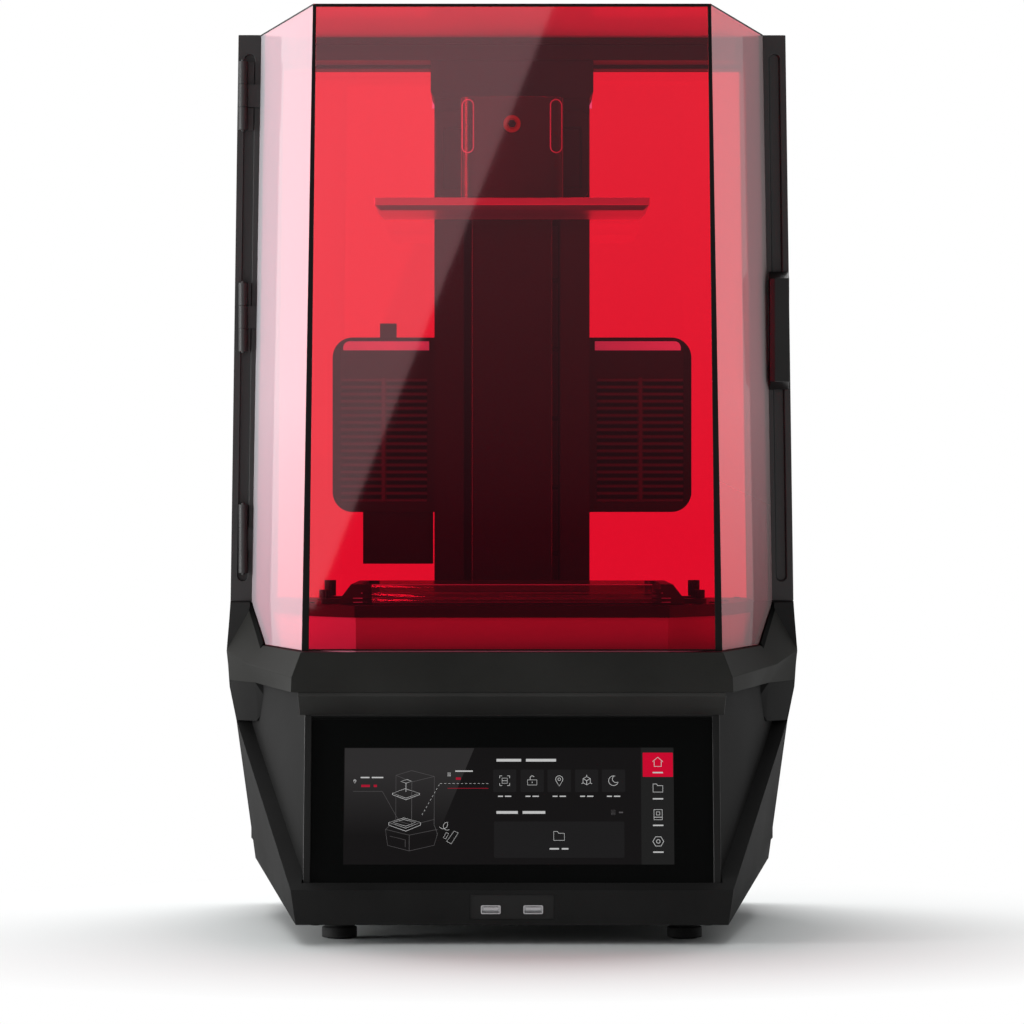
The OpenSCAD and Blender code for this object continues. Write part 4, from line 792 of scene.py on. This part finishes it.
def addShoulders():
    left = startFilled(shoulders["block"])
    pickAll(left)
    for cut in (shoulders["outer"], shoulders["front"]):
        bpy.ops.mesh.select_all(action="SELECT")
        bpy.ops.mesh.bisect(plane_co=cut["through"], plane_no=cut["normal"], use_fill=True, clear_outer=True)
    leaveEdit()
    roundOver(left, shoulders["block"]["round"])
    right = copyTo(left, (0, 0, 0))
    flip(right)
    settle(joinAll([left, right]), "shoulder.corners", "chassis", "mouldedBlack")
    look = shoulders["seal"]
    parts = [barAlong(*[onSide(-side, look[key]) for key in ("low", "high", "facing")],
                      look["wide"], look["deep"], look["round"]) for side in (-1, 1)]
    settle(joinAll(parts), "shoulder.seals", "chassis", "sealBlack")


addShoulders()
print("hood seams and shoulders ready")

# the two air modules: pale strip with a painted glow, louvre lips, middle rib and foam behind the slots
modules = {
    "strip": {"x": (0.0655, 0.1335), "y": (0.0991, 0.1), "z": (0.4438, 0.4510), "corner": 0.005, "round": 0.0002},
    "lips": {"count": 18, "first": 0.3252, "pitch": 0.0056, "x": (0.0672, 0.1352), "y": 0.1, "high": 0.0018,
             "deep": 0.0010},
    "rib": {"x": 0.1015, "y": 0.0998, "z": (0.3245, 0.4225), "wide": 0.0028, "deep": 0.0012},
    "foam": {"x": (0.0665, 0.1365), "y": (0.1080, 0.1092), "z": (0.3250, 0.4215), "inset": 0.002, "proud": 0.0003},
    "round": 0.0003, "atEdge": 1e-5,
}


def moduleStrip(look):
    strip = startFilled(look)

    right, top = [look[k][1] - modules["atEdge"] for k in "xz"]

    def topCorner(edge):
        return all(strip.data.vertices[k].co.x > right and strip.data.vertices[k].co.z > top for k in edge.vertices)

    pick(strip, "EDGE", topCorner)
    bpy.ops.mesh.bevel(offset=look["corner"], segments=5)
    leaveEdit()
    roundOver(strip, look["round"])
    return strip


def moduleGrid(lip, rib):
    master = barAlong((lip["x"][0], lip["y"], 0), (lip["x"][1], lip["y"], 0), forward, lip["high"], lip["deep"],
                      modules["round"])
    freeze(master)
    parts = [copyTo(master, (0, 0, lip["first"] + lip["pitch"] * k)) for k in range(lip["count"])]
    bpy.data.objects.remove(master)
    low, high = rib["z"]
    parts.append(barAlong((rib["x"], rib["y"], low), (rib["x"], rib["y"], high), forward, rib["wide"],
                          rib["deep"], modules["round"]))
    return joinAll(parts)


def moduleFoam(look):
    foam = startFilled(look)
    pick(foam, "FACE", lambda face: abs(face.normal.y) > 0.9)
    bpy.ops.mesh.inset(thickness=look["inset"], depth=look["proud"])
    leaveEdit()
    return foam


def addModule(side, name):
    strip = moduleStrip(modules["strip"])
    grid = moduleGrid(modules["lips"], modules["rib"])
    foam = moduleFoam(modules["foam"])
    for piece, part, slot, finish in ((strip, "strip", "window_glass", "paleStripPaintedGlow"),
                                      (grid, "lips", "trim_black", "louvreLip"),
                                      (foam, "foam", "filter_grey", "foamBlack")):
        if side < 0:
            flip(piece)
        settle(piece, name + "." + part, "chassis", finish)


addModule(-1, "filterModule")
addModule(1, "heaterModule")
print("air modules ready")

# the vat: dark grips at both ends, smoky clear walls between, and pale lines along its front edges as painted
# highlights
vatCut = 0.104
vatParts = {
    "middle": {"planes": ((vatCut, 1), (-vatCut, -1)), "finish": "smokyClear"},
    "gripRight": {"planes": ((vatCut, -1),), "finish": "anodisedBlack"},
    "gripLeft": {"planes": ((-vatCut, 1),), "finish": "anodisedBlack"},
}
vatLines = {"y": -0.1381, "high": 0.0006, "deep": 0.0006, "round": 0.00015,
            "halves": {0.2490: 0.1180, 0.2520: 0.1180, 0.2558: 0.1120, 0.2620: 0.1040}}


def splitVat():
    whole = bpy.data.objects["vat_frame.soft"]
    for name, look in vatParts.items():
        piece = copyTo(whole, (0, 0, 0))
        for key in list(piece.keys()):
            if key.startswith("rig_"):
                del piece[key]
        for x, way in look["planes"]:
            pickAll(piece)
            bpy.ops.mesh.bisect(plane_co=(x, 0, 0), plane_no=(way, 0, 0), use_fill=True, clear_outer=True)
            leaveEdit()
        settle(piece, "vat_frame." + name, "vat", look["finish"])
        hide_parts("vat_frame")
    bpy.data.objects.remove(whole)


def addVatLines():
    look = vatLines
    parts = [barAlong((-half, look["y"], z), (half, look["y"], z), forward, look["high"], look["deep"],
                      look["round"]) for z, half in look["halves"].items()]
    settle(joinAll(parts), "vat.paintedHighlightLines", "vat", "paintedHighlightEdge")


splitVat()
addVatLines()

# pale band behind the right slot of the tower only, a painted highlight where light from the left falls into that
# slot, in lengths with a dark gap between
towerSlotHighlight = {"x": 0.0340, "y": 0.13355, "wide": 0.0050, "deep": 0.0009,
             "lengths": [(0.2580, 0.2812), (0.2848, 0.3339), (0.3375, 0.3889), (0.3925, 0.4439), (0.4475, 0.4989),
                         (0.5025, 0.5440)]}


def addTowerSlotHighlight():
    look = towerSlotHighlight
    parts = [barAlong((look["x"], look["y"], low), (look["x"], look["y"], high), forward, look["wide"],
                      look["deep"]) for low, high in look["lengths"]]
    settle(joinAll(parts), "tower.paintedSlotHighlight", "chassis", "louvreLip")


addTowerSlotHighlight()
print("vat and tower details ready")

# the lock knob's socket: a black insert painted as shade in the hole, inside its bright ring
knobSocket = {"place": (0, -0.0408, 0.612), "sides": 24, "radius": 0.0040, "deep": 0.0008, "step": 0.0008,
              "sink": 0.0005, "round": 0.0001}


def addKnobSocket():
    look = knobSocket
    piece = startDisc(look["sides"], look["radius"], look["deep"])
    pickTop(piece)
    bpy.ops.mesh.inset(thickness=look["step"], depth=-look["sink"])
    bpy.ops.mesh.inset(thickness=look["step"], depth=0)
    leaveEdit()
    roundOver(piece, look["round"])
    piece.rotation_euler = (math.radians(90), 0, 0)
    piece.location = look["place"]
    settle(piece, "lockKnob.socket", "lock_knob", "seamBlack")


addKnobSocket()

# soft pads around the feet, narrower at the neck
footPads = {"places": [(x, y) for x in (-0.128, 0.128) for y in (-0.140, 0.140)], "sides": 48, "radius": 0.0130,
            "z": (0.0008, 0.0088), "step": 0.0018, "neck": 0.0024, "round": 0.0016, "segments": 3}


def addFootPads():
    look = footPads
    low, high = look["z"]
    master = startDisc(look["sides"], look["radius"], high - low, (low + high) / 2)
    pickTop(master)
    bpy.ops.mesh.inset(thickness=look["step"], depth=0)
    bpy.ops.mesh.extrude_region_move(TRANSFORM_OT_translate={"value": (0, 0, look["neck"])})
    leaveEdit()
    roundOver(master, look["round"], look["segments"])
    freeze(master)
    pads = [copyTo(master, (x, y, 0)) for x, y in look["places"]]
    bpy.data.objects.remove(master)
    settle(joinAll(pads), "feet.pads", "chassis", "rubber")


addFootPads()

# pale loops painted on the two rounded corners of the platform's bracket as highlights, shaped like slot rims
bracketHighlightLoops = {"x": 0.0337, "z": (0.5905, 0.6310), "half": 0.0043, "thick": 0.00055,
             "corner": {"x": 0.029, "y": -0.0252, "radius": 0.010}, "flattest": 1e-8}


def addBracketHighlightLoops():
    look = bracketHighlightLoops
    low, high = [1000 * v for v in look["z"]]
    half = 1000 * look["half"]
    outline = arc((0, high - half), half, 0, 180, 12) + arc((0, low + half), half, 180, 360, 12)
    corner = look["corner"]
    rims = []
    for side in (-1, 1):
        rim = screenInk([(2000 * look["thick"], True, outline)], 0)
        for vert in rim.data.vertices:  # laid round the bracket's rounded corner
            vert.co.x += side * look["x"]
            past = max(abs(vert.co.x) - corner["x"], 0)
            vert.co.y += corner["y"] - math.sqrt(max(corner["radius"] ** 2 - past ** 2, look["flattest"]))
        rims.append(rim)
    settle(joinAll(rims), "platformBracket.paintedHighlightLoops", "platform", "paintedHighlightEdge")


addBracketHighlightLoops()

# socket-head screws: one is modelled, the rest are copies joined for each panel
screw = {"sides": 24, "radius": 0.0030, "high": 0.0011, "round": 0.0003, "sharp": 0.9,
         "socketSides": 6, "socket": 0.0015, "sink": 0.0007, "cutter": 0.004}
screwPlaces = {
    "rearPanel.screws": {"turn": -90, "size": 1.0,
                         "places": [(x, 0.1988, z) for x in (-0.112, 0.112) for z in (0.041, 0.132, 0.2245)]
                         + [(0, 0.1988, 0.041), (0, 0.1988, 0.2245)]},
    "fan.screws": {"turn": -90, "size": 0.9,
                   "places": [(x, 0.1989, z) for x in (0.0245, 0.0955) for z in (0.119, 0.190)]},
    "bottomPlate.screws": {"turn": 180, "size": 1.1,
                           "places": [(x, y, 0.0145) for x in (-0.144, 0.144) for y in (-0.187, -0.06, 0.06, 0.187)]
                           + [(0, -0.187, 0.0145), (0, 0.187, 0.0145)]},
    "deck.screws": {"turn": 0, "size": 0.9,
                    "places": [(side * x, y, 0.2470) for side in (-1, 1)
                               for x, y in ((0.152, -0.060), (0.165, 0.030), (0.180, 0.150))]},
}


def makeScrew():
    look = screw
    piece = startDisc(look["sides"], look["radius"], look["high"], look["high"] / 2)
    freeze(piece)
    applyModifier(piece, "BEVEL", width=look["round"], segments=2, limit_method="ANGLE", angle_limit=look["sharp"])
    lift = look["high"] - look["sink"] + look["cutter"] / 2
    cutter = startDisc(look["socketSides"], look["socket"], look["cutter"], lift)
    applyModifier(piece, "BOOLEAN", object=cutter, operation="DIFFERENCE", solver="EXACT")
    bpy.data.objects.remove(cutter)
    return piece


def addScrews():
    master = makeScrew()
    for name, look in screwPlaces.items():
        parts = []
        for place in look["places"]:
            piece = copyTo(master, place, (math.radians(look["turn"]), 0, 0))
            piece.scale = [look["size"]] * 3
            parts.append(piece)
        settle(joinAll(parts), name, "chassis", "screwBlack")
    bpy.data.objects.remove(master)


addScrews()
print("screws ready")

# lamps, floor and surroundings; a world ramp is the span of a direction's axis, then the levels at its ends
studio = {
    "floor": {"size": 16, "colour": (0.69, 0.71, 0.71), "shadowReach": (0.23, 0.56), "shadowShift": (0, 0.07, 0)},
    "topBox": {"place": (-0.2, 1.3, 2.2), "target": (0, 0, 0.2), "size": (2.4, 2.0), "power": 70},
    "leftBox": {"place": (-2.6, -0.75, 0.5), "target": (0, 0, 0.35), "size": (0.9, 1.2), "power": 50},
    "glare": {"low": (-0.318, -5.0, 0.467), "high": (0.0732, -5.0, 1.457), "width": 0.9, "stretch": 1.5,
              "below": 0.06, "power": 5.3},
    "world": {
        "leftGloss": ("X", (-0.1, -0.5), (0, 1.6)), "rightGloss": ("X", (0.5, 0.72), (0, 0.5)),
        "sideDepth": ("Y", (-0.35, 0.1), (0, 1)), "sideHeight": ("Z", (0.1, 0.32), (1, 0.16)),
        "frontRise": ("Z", (0.05, 0.135), (-0.05, 0.26)), "frontFall": ("Z", (0.25, 0.42), (0, -0.31)),
        "frontDepth": ("Y", (-0.5, 0.1), (1, 0)), "backGloss": ("Y", (0.4, 0.85), (0.1, 0.7)),
        "sideFill": ("X", (0.8, -0.8), (0.35, 0.5)), "backFill": ("Y", (-0.2, 0.6), (0, 0.35)),
    },
}


def addFloor(look):
    material, tree, out = startMaterial("paleFloor")
    coord = put(tree, "ShaderNodeTexCoord")
    shifted = put(tree, "ShaderNodeVectorMath", operation="ADD")
    shifted.inputs[1].default_value = look["shadowShift"]
    wire(tree, coord.outputs["Object"], shifted.inputs[0])
    reach = put(tree, "ShaderNodeVectorMath", operation="LENGTH")
    wire(tree, shifted.outputs[0], reach.inputs[0])
    matt = put(tree, "ShaderNodeBsdfDiffuse", {"Color": (*look["colour"], 1)})
    white = put(tree, "ShaderNodeEmission", {"Color": (1, 1, 1, 1), "Strength": 1})
    both = shaderBlend(tree, ramp(tree, reach.outputs["Value"], look["shadowReach"]), matt, white)
    wire(tree, both.outputs[0], out.inputs["Surface"])
    bpy.ops.mesh.primitive_plane_add(size=look["size"], location=(0, 0, 0))
    floor = bpy.context.object
    floor.name = "floor"
    floor.data.materials.append(material)


def addAreaLamp(name, size, power):
    light = bpy.data.lights.new(name, "AREA")
    light.shape = "RECTANGLE"
    light.size, light.size_y = size
    light.energy = power
    lamp = bpy.data.objects.new(name, light)
    bpy.context.scene.collection.objects.link(lamp)
    lamp.visible_camera = False
    lamp.visible_transmission = False
    return lamp


def addSoftbox(name):
    look = studio[name]
    lamp = addAreaLamp(name, look["size"], look["power"])
    lamp.location = look["place"]
    lamp.rotation_euler = (Vector(look["target"]) - Vector(look["place"])).to_track_quat("-Z", "Y").to_euler()


# tall light behind the camera, whose right edge is the slanting edge of the gloss on the hood
def addGlareBox(look):
    low, high = Vector(look["low"]), Vector(look["high"])
    along = (high - low).normalized()
    facing = Vector((0, 1, 0))
    across = facing.cross(along)
    length = (high - low).length * look["stretch"]
    lamp = addAreaLamp("glareBox", (look["width"], length), look["power"])
    middle = low + along * (length / 2 - look["below"]) - across * (look["width"] / 2)
    lamp.matrix_world = Matrix.Translation(middle) @ Matrix((across, along, -facing)).transposed().to_4x4()
    lamp.visible_diffuse = False


def addWorld(look):
    world = bpy.data.worlds.new("studio")
    bpy.context.scene.world = world
    world.use_nodes = True
    tree = world.node_tree
    tree.nodes.clear()
    out = put(tree, "ShaderNodeOutputWorld")
    coord = put(tree, "ShaderNodeTexCoord")
    axes = put(tree, "ShaderNodeSeparateXYZ")
    wire(tree, coord.outputs["Generated"], axes.inputs[0])
    part = {name: ramp(tree, axes.outputs[axis], spread, values) for name, (axis, spread, values) in look.items()}
    sides = blend(tree, "ADD", part["leftGloss"], part["rightGloss"])
    level = blend(tree, "MULTIPLY", part["sideDepth"], part["sideHeight"])
    front = blend(tree, "MULTIPLY", blend(tree, "ADD", part["frontRise"], part["frontFall"]), part["frontDepth"])
    back = blend(tree, "ADD", front, part["backGloss"])
    gloss = blend(tree, "ADD", blend(tree, "MULTIPLY", sides, level), back)
    plain = blend(tree, "ADD", part["sideFill"], part["backFill"])
    path = put(tree, "ShaderNodeLightPath")
    mirrored = put(tree, "ShaderNodeMix")
    wire(tree, path.outputs["Is Glossy Ray"], mirrored.inputs["Factor"])
    wire(tree, plain, mirrored.inputs["A"])
    wire(tree, gloss, mirrored.inputs["B"])
    seen = blend(tree, "MAXIMUM", path.outputs["Is Camera Ray"], path.outputs["Is Transmission Ray"])
    strength = put(tree, "ShaderNodeMix", {"B": 1.0})  # plain white where it's looked at directly
    wire(tree, seen, strength.inputs["Factor"])
    wire(tree, mirrored.outputs["Result"], strength.inputs["A"])
    background = put(tree, "ShaderNodeBackground", {"Color": (1, 1, 1, 1)})
    wire(tree, strength.outputs["Result"], background.inputs["Strength"])
    wire(tree, background.outputs[0], out.inputs["Surface"])


addFloor(studio["floor"])
addSoftbox("topBox")
addSoftbox("leftBox")
addGlareBox(studio["glare"])
addWorld(studio["world"])
bpy.context.scene.view_settings.view_transform = "Standard"
print("studio ready")
